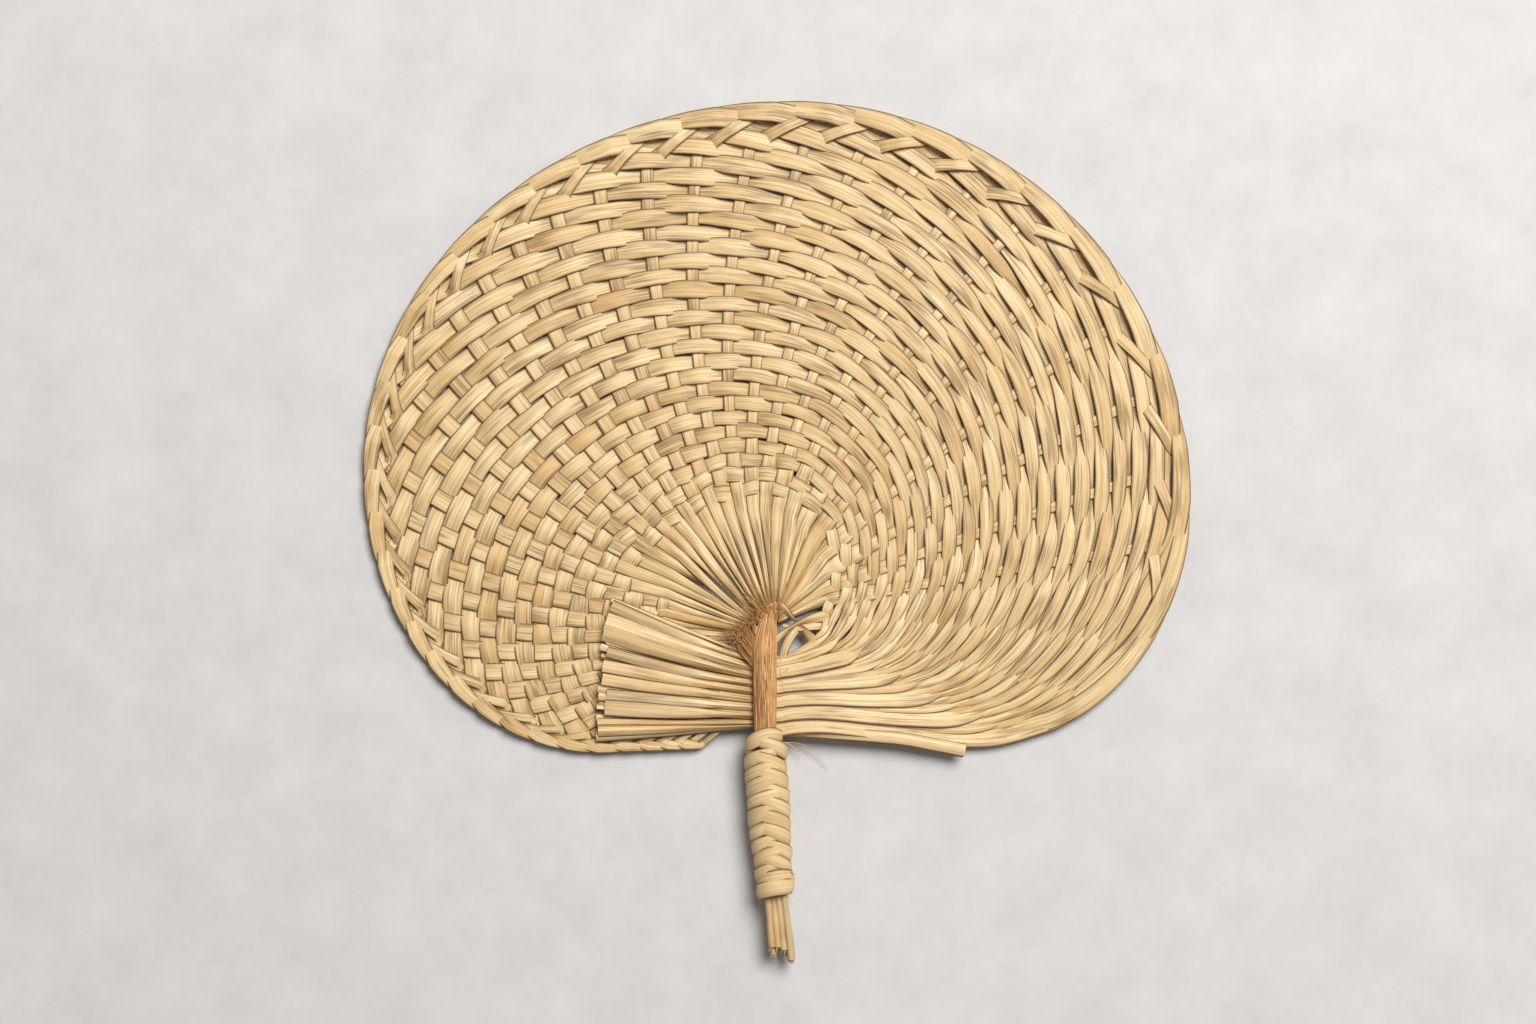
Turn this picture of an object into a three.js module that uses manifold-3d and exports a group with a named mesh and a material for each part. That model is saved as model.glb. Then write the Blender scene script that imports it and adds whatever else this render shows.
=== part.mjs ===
// Palm leaf fan, plaited from the leaflets of one leaf round its own split stalk.
// Millimetres, +Z up. The fan lies on its back on z = 0 and +Y runs from the handle to the crown of the
// blade. Pieces are drawn from the hub, where the leaflets leave the stalk, and the finished fan is then
// moved so that the origin is the flat under the middle of the handle.
import * as THREE from 'three';
import { mergeVertices } from 'three/addons/utils/BufferGeometryUtils.js';
import Module from 'manifold-3d';

const wasm = await Module();
wasm.setup();

const DEGREE = Math.PI / 180;

// Gap left between pieces that touch
const CLEARANCE = 0.35;

// Blade outline: its highest point, its widest points, and the lowest points of its two lobes
const CROWN_X = 10;
const CROWN_Y = 204;
const LEFT_SIDE_X = -161;
const LEFT_SIDE_Y = 56;
const RIGHT_SIDE_X = 171;
const RIGHT_SIDE_Y = 44;
const LEFT_LOBE_X = -66;
const LEFT_LOBE_Y = -57;
const RIGHT_LOBE_X = 88;
const RIGHT_LOBE_Y = -53;

// Leaflets: they leave the stalk one after another, clockwise from the lower left
const LEAFLETS = 40;
const FIRST_RIM_ANGLE = 250 * DEGREE;
const RIM_ANGLE_PITCH = 6.1 * DEGREE;
const BARE_ROWS = 3;
const SWIRL = 16 * DEGREE;
const SWIRL_RAMP = 12;
const LEAF_WIDTH = 6.4;
const LEAF_THICKNESS = 0.5;
const RIB_FILL = 0.42;
const RIB_STEP = 30;
const ROW_GAP = 0.6;
const TURN_TAPER = 0.75;
const EDGE_INSET = 3;
const ROOT_WIDTH = 0.6;
const ROOT_HEIGHT = 2.4;
const ROOT_RUN_LEFT = 29;
const ROOT_RUN_RIGHT = 6;

// Inner edge of the weave, from the hub: over the blade, and where the wefts gather
const INNER_RADIUS = 26;
const GATHERED_RADIUS = 16.5;
const INNER_ANGLE = 75 * DEGREE;
const GATHER_START = -30 * DEGREE;
const GATHERED_ANGLE = -85 * DEGREE;
const GATHERED_DEPTH = 47;

// Weave height: wefts rise and fall by WEAVE_RISE, and the blade swells towards the hub
const WEAVE_CLEARANCE = 0.65;
const WEAVE_RISE = (LEAF_THICKNESS + WEAVE_CLEARANCE) / (1 - RIB_FILL);
const RIM_HEIGHT = WEAVE_RISE + LEAF_THICKNESS / 2;
const HUB_SWELL = 3.6;
const SWELL_Y = 20;
const SWELL_RADIUS = 70;

// The gathered wefts start to climb at one distance from the stalk and end at the other.
const CLIMB_START_X = 70;
const CLIMB_END_X = 8;
const CLIMB_START_Y = 10;
const CLIMB_END_Y = -15;
const BUNDLE_SHARES = [0.14, 0.27, 0.4, 0.54, 0.7, 0.86];

// Split stalk
const STALK_WIDTH = 10;
const STALK_HEIGHT = 11;
const STALK_CORNER = 3.5;
const STALK_HEAD = 5;
const SLIT_HEIGHT = 4.4;
const SLIT_HEADROOM = 1;
const SLIT_FOOTROOM = 1.2;
const SPLIT_WIDTH = 0.8;
const STRANDS = 4;
const STRAND_LENGTH = 20;

// Handle winding
const WINDING_LOOPS = 11;
const WINDING_DROP = 3.9;
const WINDING_LENGTH = 60;
const BARE_END = 23.5;
const WINDING_THICKNESS = 2.7;
const WINDING_WIDTH = 4.7;
const WINDING_FLATNESS = 0.7;
const WINDING_FLAT = 0.5;
const REST_TURN = 5.25;
const LOOP_STEPS = 24;
const HANDLE_LEAN = 7;
const LEAN_POWER = 1.4;

// Cut ends of the leaflets and the loose strip
const TAILS = 4;
const TAIL_ROOT_DROP = 3;
const TAIL_TIP_X = -66;
const TAIL_TIP_TOP = 3;
const TAIL_TIP_BOTTOM = -40.5;
const TAIL_ROOT_THICKNESS = 3.6;
const TAIL_TIP_THICKNESS = 1.6;
const TAIL_TIP_GAP = 1.25;
const LOWER_TAIL_ROOT_WIDTH = 4.5;
const LOWER_TAIL_TIP_X = -69;
const LOWER_TAIL_TIP_BOTTOM = -52;
const LOOSE_ROOT_WIDTH = 3.4;
const LOOSE_WIDTH = 5.8;
const LOOSE_THICKNESS = 1;
const LOOSE_TIP_X = 80;
const LOOSE_TIP_DROP = 2.2;
const LOOSE_TIP_HEIGHT = 7.4;

// Frayed fibres and the strips across the hole beside the stalk
const FIBRE_REACH = 11;
const FIBRE_ROOT_WIDTH = 12;
const FIBRE_TIP_WIDTH = 5;
const FIBRE_ROOT_THICKNESS = 2.4;
const FIBRE_TIP_THICKNESS = 1;
const FIBRE_LIFT = 1;
const GAP_STRIP_WIDTH = 3;
const GAP_STRIP_THICKNESS = 0.8;
const LOW_GAP_STRIP = { rootY: -3.5, rootLift: -2.6, tipAngle: -45 * DEGREE };
const HIGH_GAP_STRIP = { rootY: -12, rootLift: 3.6, tipAngle: -5 * DEGREE };

// The slit takes the gathered leaflets and, below them, the loose strip. The handle follows below it.
const SLIT_TOP = SLIT_HEADROOM - GATHERED_RADIUS;
const SLIT_BOTTOM = -GATHERED_DEPTH - LOOSE_ROOT_WIDTH - SLIT_FOOTROOM;
const WINDING_TOP = SLIT_BOTTOM - WINDING_DROP;
const WINDING_BOTTOM = WINDING_TOP - WINDING_LENGTH;
const STALK_END = WINDING_BOTTOM - BARE_END;
const TAIL_ROOT_TOP = SLIT_TOP - TAIL_ROOT_DROP;
const LOWER_TAIL_ROOT_BOTTOM = -GATHERED_DEPTH;
const TAIL_ROOT_BOTTOM = LOWER_TAIL_ROOT_BOTTOM + LOWER_TAIL_ROOT_WIDTH;

// Handle axis height, so that the flat under the winding lies on z = 0
const STALK_SIDE = STALK_WIDTH / 2;
const CORNER_REACH = Math.hypot(STALK_SIDE - STALK_CORNER, STALK_HEIGHT / 2 - STALK_CORNER);
const STALK_REACH = CORNER_REACH + STALK_CORNER;
const WINDING_RADIUS = STALK_REACH + CLEARANCE + WINDING_THICKNESS / 2;
const AXIS_HEIGHT = WINDING_RADIUS + WINDING_THICKNESS / 2 - WINDING_FLAT;
const BUNDLE_LAYER = (SLIT_HEIGHT - 3 * CLEARANCE) / 2;

function smoothstep(from, to, value) {
  const t = THREE.MathUtils.clamp((value - from) / (to - from), 0, 1);
  return t * t * (3 - 2 * t);
}

// Distance from the hub to the blade's outline in a direction: a quarter ellipse or the lower edge
function rimRadius(angle) {
  const dx = Math.cos(angle);
  const dy = Math.sin(angle);
  const quarters = [
    [CROWN_X, LEFT_SIDE_Y, LEFT_SIDE_X, CROWN_Y],
    [CROWN_X, RIGHT_SIDE_Y, RIGHT_SIDE_X, CROWN_Y],
    [RIGHT_LOBE_X, RIGHT_SIDE_Y, RIGHT_SIDE_X, RIGHT_LOBE_Y],
    [LEFT_LOBE_X, LEFT_SIDE_Y, LEFT_SIDE_X, LEFT_LOBE_Y],
  ];
  for (const [centreX, centreY, sideX, endY] of quarters) {
    const a = sideX - centreX;
    const b = endY - centreY;
    const square = (dx / a) ** 2 + (dy / b) ** 2;
    const half = (dx * centreX) / a ** 2 + (dy * centreY) / b ** 2;
    const rest = (centreX / a) ** 2 + (centreY / b) ** 2 - 1;
    const root = half ** 2 - square * rest;
    const reach = root < 0 ? -1 : (half + Math.sqrt(root)) / square;
    const inQuarter = (reach * dx - centreX) * a >= 0 && (reach * dy - centreY) * b >= 0;
    if (reach > 0 && inQuarter) {
      return reach;
    }
  }
  const slope = (RIGHT_LOBE_Y - LEFT_LOBE_Y) / (RIGHT_LOBE_X - LEFT_LOBE_X);
  return (LEFT_LOBE_Y - slope * LEFT_LOBE_X) / (dy - slope * dx);
}

function innerRadius(angle) {
  const open = smoothstep(GATHERED_ANGLE, INNER_ANGLE, angle);
  return GATHERED_RADIUS + (INNER_RADIUS - GATHERED_RADIUS) * open;
}

// The outermost row's middle. Near the stalk the rows leave room for the loose strip.
function edgeRadius(angle) {
  const gathered = smoothstep(GATHER_START, GATHERED_ANGLE, angle);
  return THREE.MathUtils.lerp(rimRadius(angle) - EDGE_INSET, GATHERED_DEPTH, gathered);
}

function rimAngle(leaflet) {
  return FIRST_RIM_ANGLE - leaflet * RIM_ANGLE_PITCH;
}

// Rows of weft that share the blade at an angle: one more for each leaflet turned so far
function rowsAt(angle) {
  const turned = (FIRST_RIM_ANGLE - angle) / RIM_ANGLE_PITCH + 0.5;
  return BARE_ROWS + Math.min(turned, LEAFLETS);
}

function rowPitch(angle) {
  return (edgeRadius(angle) - innerRadius(angle)) / rowsAt(angle);
}

function rowRadius(leaflet, angle) {
  return innerRadius(angle) + rowPitch(angle) * (BARE_ROWS + leaflet + 0.5);
}

// A rib runs clockwise as it goes outwards.
function ribAngle(leaflet, radius) {
  const swirl = SWIRL * Math.min(leaflet / SWIRL_RAMP, 1);
  return rimAngle(leaflet) + swirl * (1 - radius / edgeRadius(rimAngle(leaflet)));
}

function ribWidth(radius) {
  return Math.min(LEAF_WIDTH, RIB_FILL * RIM_ANGLE_PITCH * radius);
}

function weftWidth(angle) {
  return Math.min(LEAF_WIDTH, rowPitch(angle) - ROW_GAP);
}

// Angle at which a leaflet's weft crosses a later leaflet's rib
function crossingAngle(weft, rib) {
  let angle = rimAngle(rib);
  for (let pass = 0; pass < 12; pass += 1) {
    angle = ribAngle(rib, rowRadius(weft, angle));
  }
  return angle;
}

// Height of the weave's middle
function bladeHeight(x, y) {
  const distance = (x ** 2 + (y - SWELL_Y) ** 2) / SWELL_RADIUS ** 2;
  return RIM_HEIGHT + HUB_SWELL * Math.exp(-distance);
}

// The gathered wefts climb from the blade to the slit in the stalk.
function bundleHeight(x, y) {
  const climb = smoothstep(CLIMB_START_X, CLIMB_END_X, x) * smoothstep(CLIMB_START_Y, CLIMB_END_Y, y);
  return THREE.MathUtils.lerp(bladeHeight(x, y), AXIS_HEIGHT, climb);
}

function polar(radius, angle) {
  return new THREE.Vector2(radius * Math.cos(angle), radius * Math.sin(angle));
}

// Where a leaflet leaves the stalk: up its left side, round its head and down its right side
function rootPoint(leaflet) {
  const half = STALK_SIDE + CLEARANCE + ROOT_WIDTH / 2;
  const arc = Math.PI * half;
  const run = (leaflet / (LEAFLETS - 1)) * (ROOT_RUN_LEFT + arc + ROOT_RUN_RIGHT);
  if (run < ROOT_RUN_LEFT) {
    return new THREE.Vector2(-half, STALK_HEAD - ROOT_RUN_LEFT + run);
  }
  if (run < ROOT_RUN_LEFT + arc) {
    const turn = Math.PI - (run - ROOT_RUN_LEFT) / half;
    return new THREE.Vector2(half * Math.cos(turn), STALK_HEAD + half * Math.sin(turn));
  }
  return new THREE.Vector2(half, STALK_HEAD - (run - ROOT_RUN_LEFT - arc));
}

// One closed solid through rings of corners, with its faces turned outwards
function loft(rings) {
  const sides = rings[0].length;
  const points = rings.flat();
  const index = [];
  for (let ring = 0; ring + 1 < rings.length; ring += 1) {
    for (let side = 0; side < sides; side += 1) {
      const a = ring * sides + side;
      const b = ring * sides + ((side + 1) % sides);
      index.push(a, b, b + sides, a, b + sides, a + sides);
    }
  }
  const last = (rings.length - 1) * sides;
  for (let side = 1; side + 1 < sides; side += 1) {
    index.push(0, side + 1, side, last, last + side, last + side + 1);
  }
  let volume = 0;
  for (let i = 0; i < index.length; i += 3) {
    const cross = new THREE.Vector3().crossVectors(points[index[i + 1]], points[index[i + 2]]);
    volume += points[index[i]].dot(cross);
  }
  const geometry = new THREE.BufferGeometry().setFromPoints(points);
  geometry.setIndex(volume > 0 ? index : index.reverse());
  return geometry;
}

// A flat strip through stations { at, cut, height, width, thickness }. Height is a function of place,
// and cut is the direction in which the strip's width is measured, to its left.
function strip(stations) {
  const rings = stations.map(({ at, cut, height, width, thickness }) => {
    const left = at.clone().addScaledVector(cut, width / 2);
    const right = at.clone().addScaledVector(cut, -width / 2);
    const corner = (p, lift) => new THREE.Vector3(p.x, p.y, height(p.x, p.y) + lift);
    const half = thickness / 2;
    return [corner(left, -half), corner(right, -half), corner(right, half), corner(left, half)];
  });
  return loft(rings);
}

function leftOf(direction) {
  return new THREE.Vector2(-direction.y, direction.x).normalize();
}

// Place and direction of a rib at a distance from the hub
function ribPoint(leaflet, radius) {
  return polar(radius, ribAngle(leaflet, radius));
}

function ribDirection(leaflet, radius) {
  return ribPoint(leaflet, radius + 0.5).sub(ribPoint(leaflet, radius - 0.5)).normalize();
}

// One leaflet: pleated root, rib, turn at the rim, weft over and under the later ribs, bundle
function leafletGeometry(leaflet) {
  const stations = [];
  const add = (at, cut, height, width, thickness) => stations.push({ at, cut, height, width, thickness });
  const rim = rimAngle(leaflet);
  const edge = edgeRadius(rim);
  const turnWidth = TURN_TAPER * weftWidth(rim);

  const root = rootPoint(leaflet);
  const ribStart = innerRadius(rim) + BARE_ROWS * rowPitch(rim);
  const rootCut = leftOf(ribPoint(leaflet, ribStart).sub(root));
  add(root, rootCut, bladeHeight, ROOT_WIDTH, ROOT_HEIGHT);
  const ribEnd = edge - turnWidth;
  for (let radius = ribStart; radius < ribEnd - RIB_STEP / 4; radius += RIB_STEP) {
    const cut = leftOf(ribDirection(leaflet, radius));
    add(ribPoint(leaflet, radius), cut, bladeHeight, ribWidth(radius), LEAF_THICKNESS);
  }
  const endCut = leftOf(ribDirection(leaflet, ribEnd));
  const endWidth = Math.min(turnWidth, ribWidth(ribEnd));
  add(ribPoint(leaflet, ribEnd), endCut, bladeHeight, endWidth, LEAF_THICKNESS);

  const wefts = [];
  for (let rib = leaflet + 1; rib < LEAFLETS; rib += 1) {
    const angle = crossingAngle(leaflet, rib);
    const radius = rowRadius(leaflet, angle);
    const lift = (leaflet + rib) % 2 === 0 ? WEAVE_RISE : -WEAVE_RISE;
    const height = (x, y) => bladeHeight(x, y) + lift;
    wefts.push([polar(radius, angle), ribDirection(rib, radius), height, weftWidth(angle), LEAF_THICKNESS]);
  }

  const upper = (leaflet + LEAFLETS - 1) % 2 === 0 ? 1 : -1;
  const layer = upper * (BUNDLE_LAYER + CLEARANCE) * 0.5;
  const layered = (lift) => (x, y) => bundleHeight(x, y) + lift;
  const lastRib = rimAngle(LEAFLETS - 1);
  for (const share of BUNDLE_SHARES) {
    const angle = THREE.MathUtils.lerp(lastRib, GATHERED_ANGLE, share);
    const width = Math.min(weftWidth(lastRib), 2 * rowPitch(angle) - ROW_GAP);
    const thickness = THREE.MathUtils.lerp(LEAF_THICKNESS, BUNDLE_LAYER, share);
    const lift = THREE.MathUtils.lerp(upper * WEAVE_RISE, layer, share);
    wefts.push([polar(rowRadius(leaflet, angle), angle), polar(1, angle), layered(lift), width, thickness]);
  }
  const depth = -rowRadius(leaflet, GATHERED_ANGLE);
  const width = 2 * rowPitch(GATHERED_ANGLE) - ROW_GAP;
  const down = new THREE.Vector2(0, -1);
  wefts.push([new THREE.Vector2(STALK_SIDE, depth), down, layered(layer), width, BUNDLE_LAYER]);
  wefts.push([new THREE.Vector2(-STALK_SIDE, depth), down, layered(layer), width, BUNDLE_LAYER]);

  const corner = polar(edge, rim);
  const arriving = ribDirection(leaflet, edge);
  const leaving = wefts[0][0].clone().sub(corner).normalize();
  const mitre = leftOf(arriving.clone().add(leaving));
  const mitreWidth = turnWidth / Math.abs(mitre.dot(leftOf(arriving)));
  add(corner, mitre, bladeHeight, mitreWidth, LEAF_THICKNESS);
  wefts.forEach((weft) => add(...weft));
  return strip(stations);
}

function solidOf(geometry) {
  const bare = geometry.index ? geometry.toNonIndexed() : geometry.clone();
  bare.deleteAttribute('normal');
  bare.deleteAttribute('uv');
  const merged = mergeVertices(bare, 1e-3);
  return new wasm.Manifold(
    new wasm.Mesh({
      numProp: 3,
      vertProperties: new Float32Array(merged.attributes.position.array),
      triVerts: new Uint32Array(merged.index.array),
    }),
  );
}

function geometryOf(solid) {
  const mesh = solid.getMesh();
  const geometry = new THREE.BufferGeometry();
  geometry.setAttribute('position', new THREE.BufferAttribute(mesh.vertProperties, 3));
  geometry.setIndex(new THREE.BufferAttribute(mesh.triVerts, 1));
  return geometry;
}

// The handle leans to the right below the blade.
function handleX(y) {
  const along = THREE.MathUtils.clamp((SLIT_BOTTOM - y) / (SLIT_BOTTOM - STALK_END), 0, 1);
  return HANDLE_LEAN * along ** LEAN_POWER;
}

function box(width, depth, height, x, y, z) {
  return new THREE.BoxGeometry(width, depth, height).translate(x, y, z);
}

// The stalk: a rod with a slit for the gathered leaflets, split on below it and into strands at the end
function stalkGeometry() {
  const section = new THREE.Shape();
  const x = STALK_SIDE - STALK_CORNER;
  const z = STALK_HEIGHT / 2 - STALK_CORNER;
  section.absarc(x, z, STALK_CORNER, 0, Math.PI / 2);
  section.absarc(-x, z, STALK_CORNER, Math.PI / 2, Math.PI);
  section.absarc(-x, -z, STALK_CORNER, Math.PI, 1.5 * Math.PI);
  section.absarc(x, -z, STALK_CORNER, 1.5 * Math.PI, 2 * Math.PI);
  const length = STALK_HEAD - STALK_END;
  const along = { depth: length, steps: 12, curveSegments: 4, bevelEnabled: false };
  const rod = new THREE.ExtrudeGeometry(section, along);
  rod.rotateX(Math.PI / 2).translate(0, STALK_HEAD, AXIS_HEIGHT);
  const place = rod.attributes.position;
  for (let i = 0; i < place.count; i += 1) {
    place.setX(i, place.getX(i) + handleX(place.getY(i)));
  }
  const across = 4 * STALK_WIDTH;
  const slitLength = SLIT_TOP - SLIT_BOTTOM;
  const slitMiddle = (SLIT_TOP + SLIT_BOTTOM) / 2;
  const splitLength = SLIT_BOTTOM - STALK_END + 2;
  let solid = solidOf(rod);
  solid = solid.subtract(solidOf(box(across, slitLength, SLIT_HEIGHT, 0, slitMiddle, AXIS_HEIGHT)));
  solid = solid.subtract(
    solidOf(box(across, splitLength, SPLIT_WIDTH, 0, SLIT_BOTTOM + 1 - splitLength / 2, AXIS_HEIGHT)),
  );
  const endX = handleX(STALK_END);
  const strandY = STALK_END + STRAND_LENGTH;
  const lean = Math.atan2(endX - handleX(strandY), STRAND_LENGTH);
  for (let cut = 1; cut < STRANDS; cut += 1) {
    const offset = (cut / STRANDS - 0.5) * STALK_WIDTH;
    const kerf = box(SPLIT_WIDTH, 2 * STRAND_LENGTH, 2 * STALK_HEIGHT, 0, 0, 0);
    kerf.rotateZ(lean).translate(endX + offset, STALK_END, AXIS_HEIGHT);
    solid = solid.subtract(solidOf(kerf));
  }
  return geometryOf(solid);
}

// Middle of the winding's strip after some turns. It starts on the left side and first goes down.
function windingY(turn) {
  return THREE.MathUtils.lerp(WINDING_TOP, WINDING_BOTTOM, turn / WINDING_LOOPS);
}

// The winding: one flat strip in loops round the stalk, with straight ends and a flat underneath
function windingGeometry() {
  const half = WINDING_WIDTH / 2;
  const thick = WINDING_THICKNESS / 2;
  const flat = WINDING_FLATNESS * half;
  const section = [
    [half, 0],
    [flat, thick],
    [-flat, thick],
    [-half, 0],
    [-flat, -thick],
    [flat, -thick],
  ];
  const ring = (turn, straight) => {
    const angle = Math.PI + turn * 2 * Math.PI;
    const middle = windingY(turn);
    return section.map(([along, out]) => {
      const radius = WINDING_RADIUS + out;
      const x = handleX(middle) + radius * Math.cos(angle) - straight * Math.sin(angle);
      const z = AXIS_HEIGHT + radius * Math.sin(angle) + straight * Math.cos(angle);
      return new THREE.Vector3(x, middle + along, z);
    });
  };
  const rings = [ring(0, -WINDING_THICKNESS)];
  for (let step = 0; step <= WINDING_LOOPS * LOOP_STEPS; step += 1) {
    rings.push(ring(step / LOOP_STEPS, 0));
  }
  rings.push(ring(WINDING_LOOPS, WINDING_THICKNESS));
  let gap = Infinity;
  const halfLoop = Math.round(LOOP_STEPS / 2);
  for (let i = 0; i < rings.length; i += 1) {
    for (let j = i + halfLoop; j < Math.min(i + 2 * LOOP_STEPS, rings.length); j += 1) {
      for (const p of rings[i]) {
        for (const q of rings[j]) {
          gap = Math.min(gap, p.distanceTo(q));
        }
      }
    }
  }
  console.log(`handle_winding: least gap between loops ${gap.toFixed(2)} mm`);
  const floor = box(4 * WINDING_RADIUS, 4 * -STALK_END, WINDING_RADIUS, 0, 0, -WINDING_RADIUS / 2);
  return geometryOf(solidOf(loft(rings)).subtract(solidOf(floor)));
}

// One strip of the cut ends left of the stalk, from the slit to its cut tip
function tailGeometry(rootTop, rootBottom, tipX, tipTop, tipBottom) {
  const root = new THREE.Vector2(-STALK_SIDE - CLEARANCE, (rootTop + rootBottom) / 2);
  const tip = new THREE.Vector2(tipX, (tipTop + tipBottom) / 2);
  const bladeTop = bladeHeight(tip.x, tip.y) + WEAVE_RISE + LEAF_THICKNESS / 2;
  const tipHeight = bladeTop + TAIL_TIP_GAP + TAIL_TIP_THICKNESS / 2;
  const stations = [0, 0.35, 0.7, 1].map((share) => {
    const height = THREE.MathUtils.lerp(AXIS_HEIGHT, tipHeight, smoothstep(0.1, 1, share));
    return {
      at: root.clone().lerp(tip, share),
      cut: new THREE.Vector2(0, -1),
      height: () => height,
      width: THREE.MathUtils.lerp(rootTop - rootBottom, tipTop - tipBottom, share) - CLEARANCE,
      thickness: THREE.MathUtils.lerp(TAIL_ROOT_THICKNESS, TAIL_TIP_THICKNESS, share),
    };
  });
  return strip(stations);
}

function upperTailGeometry(tail) {
  const root = (edge) => THREE.MathUtils.lerp(TAIL_ROOT_TOP, TAIL_ROOT_BOTTOM, edge / TAILS);
  const tip = (edge) => THREE.MathUtils.lerp(TAIL_TIP_TOP, TAIL_TIP_BOTTOM, edge / TAILS);
  return tailGeometry(root(tail), root(tail + 1), TAIL_TIP_X, tip(tail), tip(tail + 1));
}

function lowerTailGeometry() {
  const rootTop = TAIL_ROOT_BOTTOM - CLEARANCE;
  const tipTop = TAIL_TIP_BOTTOM - CLEARANCE;
  return tailGeometry(rootTop, LOWER_TAIL_ROOT_BOTTOM, LOWER_TAIL_TIP_X, tipTop, LOWER_TAIL_TIP_BOTTOM);
}

// The strip that leaves the bottom of the slit to the right and lies over the blade's lower edge
function looseStripGeometry() {
  const rootY = SLIT_BOTTOM + CLEARANCE + LOOSE_ROOT_WIDTH / 2;
  const root = new THREE.Vector2(STALK_SIDE + CLEARANCE, rootY);
  const tip = new THREE.Vector2(LOOSE_TIP_X, RIGHT_LOBE_Y - LOOSE_TIP_DROP);
  const stations = [0, 0.25, 0.6, 1].map((share) => {
    const height = THREE.MathUtils.lerp(AXIS_HEIGHT, LOOSE_TIP_HEIGHT, share);
    const open = Math.min(share / 0.25, 1);
    return {
      at: root.clone().lerp(tip, share),
      cut: new THREE.Vector2(0, 1),
      height: () => height,
      width: THREE.MathUtils.lerp(LOOSE_ROOT_WIDTH, LOOSE_WIDTH, open),
      thickness: THREE.MathUtils.lerp(TAIL_ROOT_THICKNESS, LOOSE_THICKNESS, open),
    };
  });
  return strip(stations);
}

// The frayed fibres that stand out of the stalk's left side above the slit
function fibreGeometry() {
  const root = new THREE.Vector2(-STALK_SIDE - CLEARANCE, STALK_HEAD - FIBRE_ROOT_WIDTH / 2);
  const tip = new THREE.Vector2(root.x - FIBRE_REACH, root.y - FIBRE_ROOT_WIDTH / 2);
  const stations = [0, 0.5, 1].map((share) => ({
    at: root.clone().lerp(tip, share),
    cut: new THREE.Vector2(0, -1),
    height: () => AXIS_HEIGHT + FIBRE_LIFT,
    width: THREE.MathUtils.lerp(FIBRE_ROOT_WIDTH, FIBRE_TIP_WIDTH, share),
    thickness: THREE.MathUtils.lerp(FIBRE_ROOT_THICKNESS, FIBRE_TIP_THICKNESS, share),
  }));
  return strip(stations);
}

// A strip across the hole, from the stalk's right side to the top of the gathered wefts
function gapStripGeometry({ rootY, rootLift, tipAngle }) {
  const root = new THREE.Vector2(STALK_SIDE + CLEARANCE + GAP_STRIP_WIDTH / 4, rootY);
  const tip = polar(innerRadius(tipAngle) + GAP_STRIP_WIDTH, tipAngle);
  const rest = WEAVE_RISE + LEAF_THICKNESS + GAP_STRIP_THICKNESS / 2 + CLEARANCE;
  const tipHeight = bundleHeight(tip.x, tip.y) + rest;
  const stations = [0, 0.5, 1].map((share) => {
    const height = THREE.MathUtils.lerp(AXIS_HEIGHT + rootLift, tipHeight, share);
    return {
      at: root.clone().lerp(tip, share),
      cut: new THREE.Vector2(0, 1),
      height: () => height,
      width: GAP_STRIP_WIDTH,
      thickness: GAP_STRIP_THICKNESS,
    };
  });
  return strip(stations);
}

const fan = new THREE.Group();

function addPiece(name, geometry, colour, roughness) {
  const material = new THREE.MeshStandardMaterial({ color: colour, roughness, metalness: 0 });
  const mesh = new THREE.Mesh(geometry, material);
  mesh.name = name;
  fan.add(mesh);
}

const LEAF_COLOUR = 0xd9bf8a;
const TAIL_COLOUR = 0xcfae76;
const STALK_COLOUR = 0xb98a52;
const WINDING_COLOUR = 0xcdb483;

for (let leaflet = 0; leaflet < LEAFLETS; leaflet += 1) {
  const number = String(leaflet + 1).padStart(2, '0');
  addPiece(`leaflet_${number}`, leafletGeometry(leaflet), LEAF_COLOUR, 0.6);
}
addPiece('leaf_stalk', stalkGeometry(), STALK_COLOUR, 0.75);
addPiece('handle_winding', windingGeometry(), WINDING_COLOUR, 0.6);
for (let tail = 0; tail < TAILS; tail += 1) {
  addPiece(`leaf_tail_${tail + 1}`, upperTailGeometry(tail), TAIL_COLOUR, 0.6);
}
addPiece('lower_leaf_tail', lowerTailGeometry(), TAIL_COLOUR, 0.6);
addPiece('loose_strip', looseStripGeometry(), LEAF_COLOUR, 0.6);
addPiece('stalk_fibres', fibreGeometry(), STALK_COLOUR, 0.9);
addPiece('gap_strip_1', gapStripGeometry(LOW_GAP_STRIP), LEAF_COLOUR, 0.6);
addPiece('gap_strip_2', gapStripGeometry(HIGH_GAP_STRIP), LEAF_COLOUR, 0.6);

// The origin goes to the flat under the loop in the middle of the handle.
const restY = windingY(REST_TURN);
fan.position.set(-handleX(restY), -restY, 0);

const part = new THREE.Group();
part.add(fan);

export default part;
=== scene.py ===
"""Palm leaf fan, plaited from the leaflets of one leaf round its own split stalk, lying on a pale floor."""
import random
from math import acos, copysign, cos, exp, hypot, pi, sin, sqrt

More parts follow.
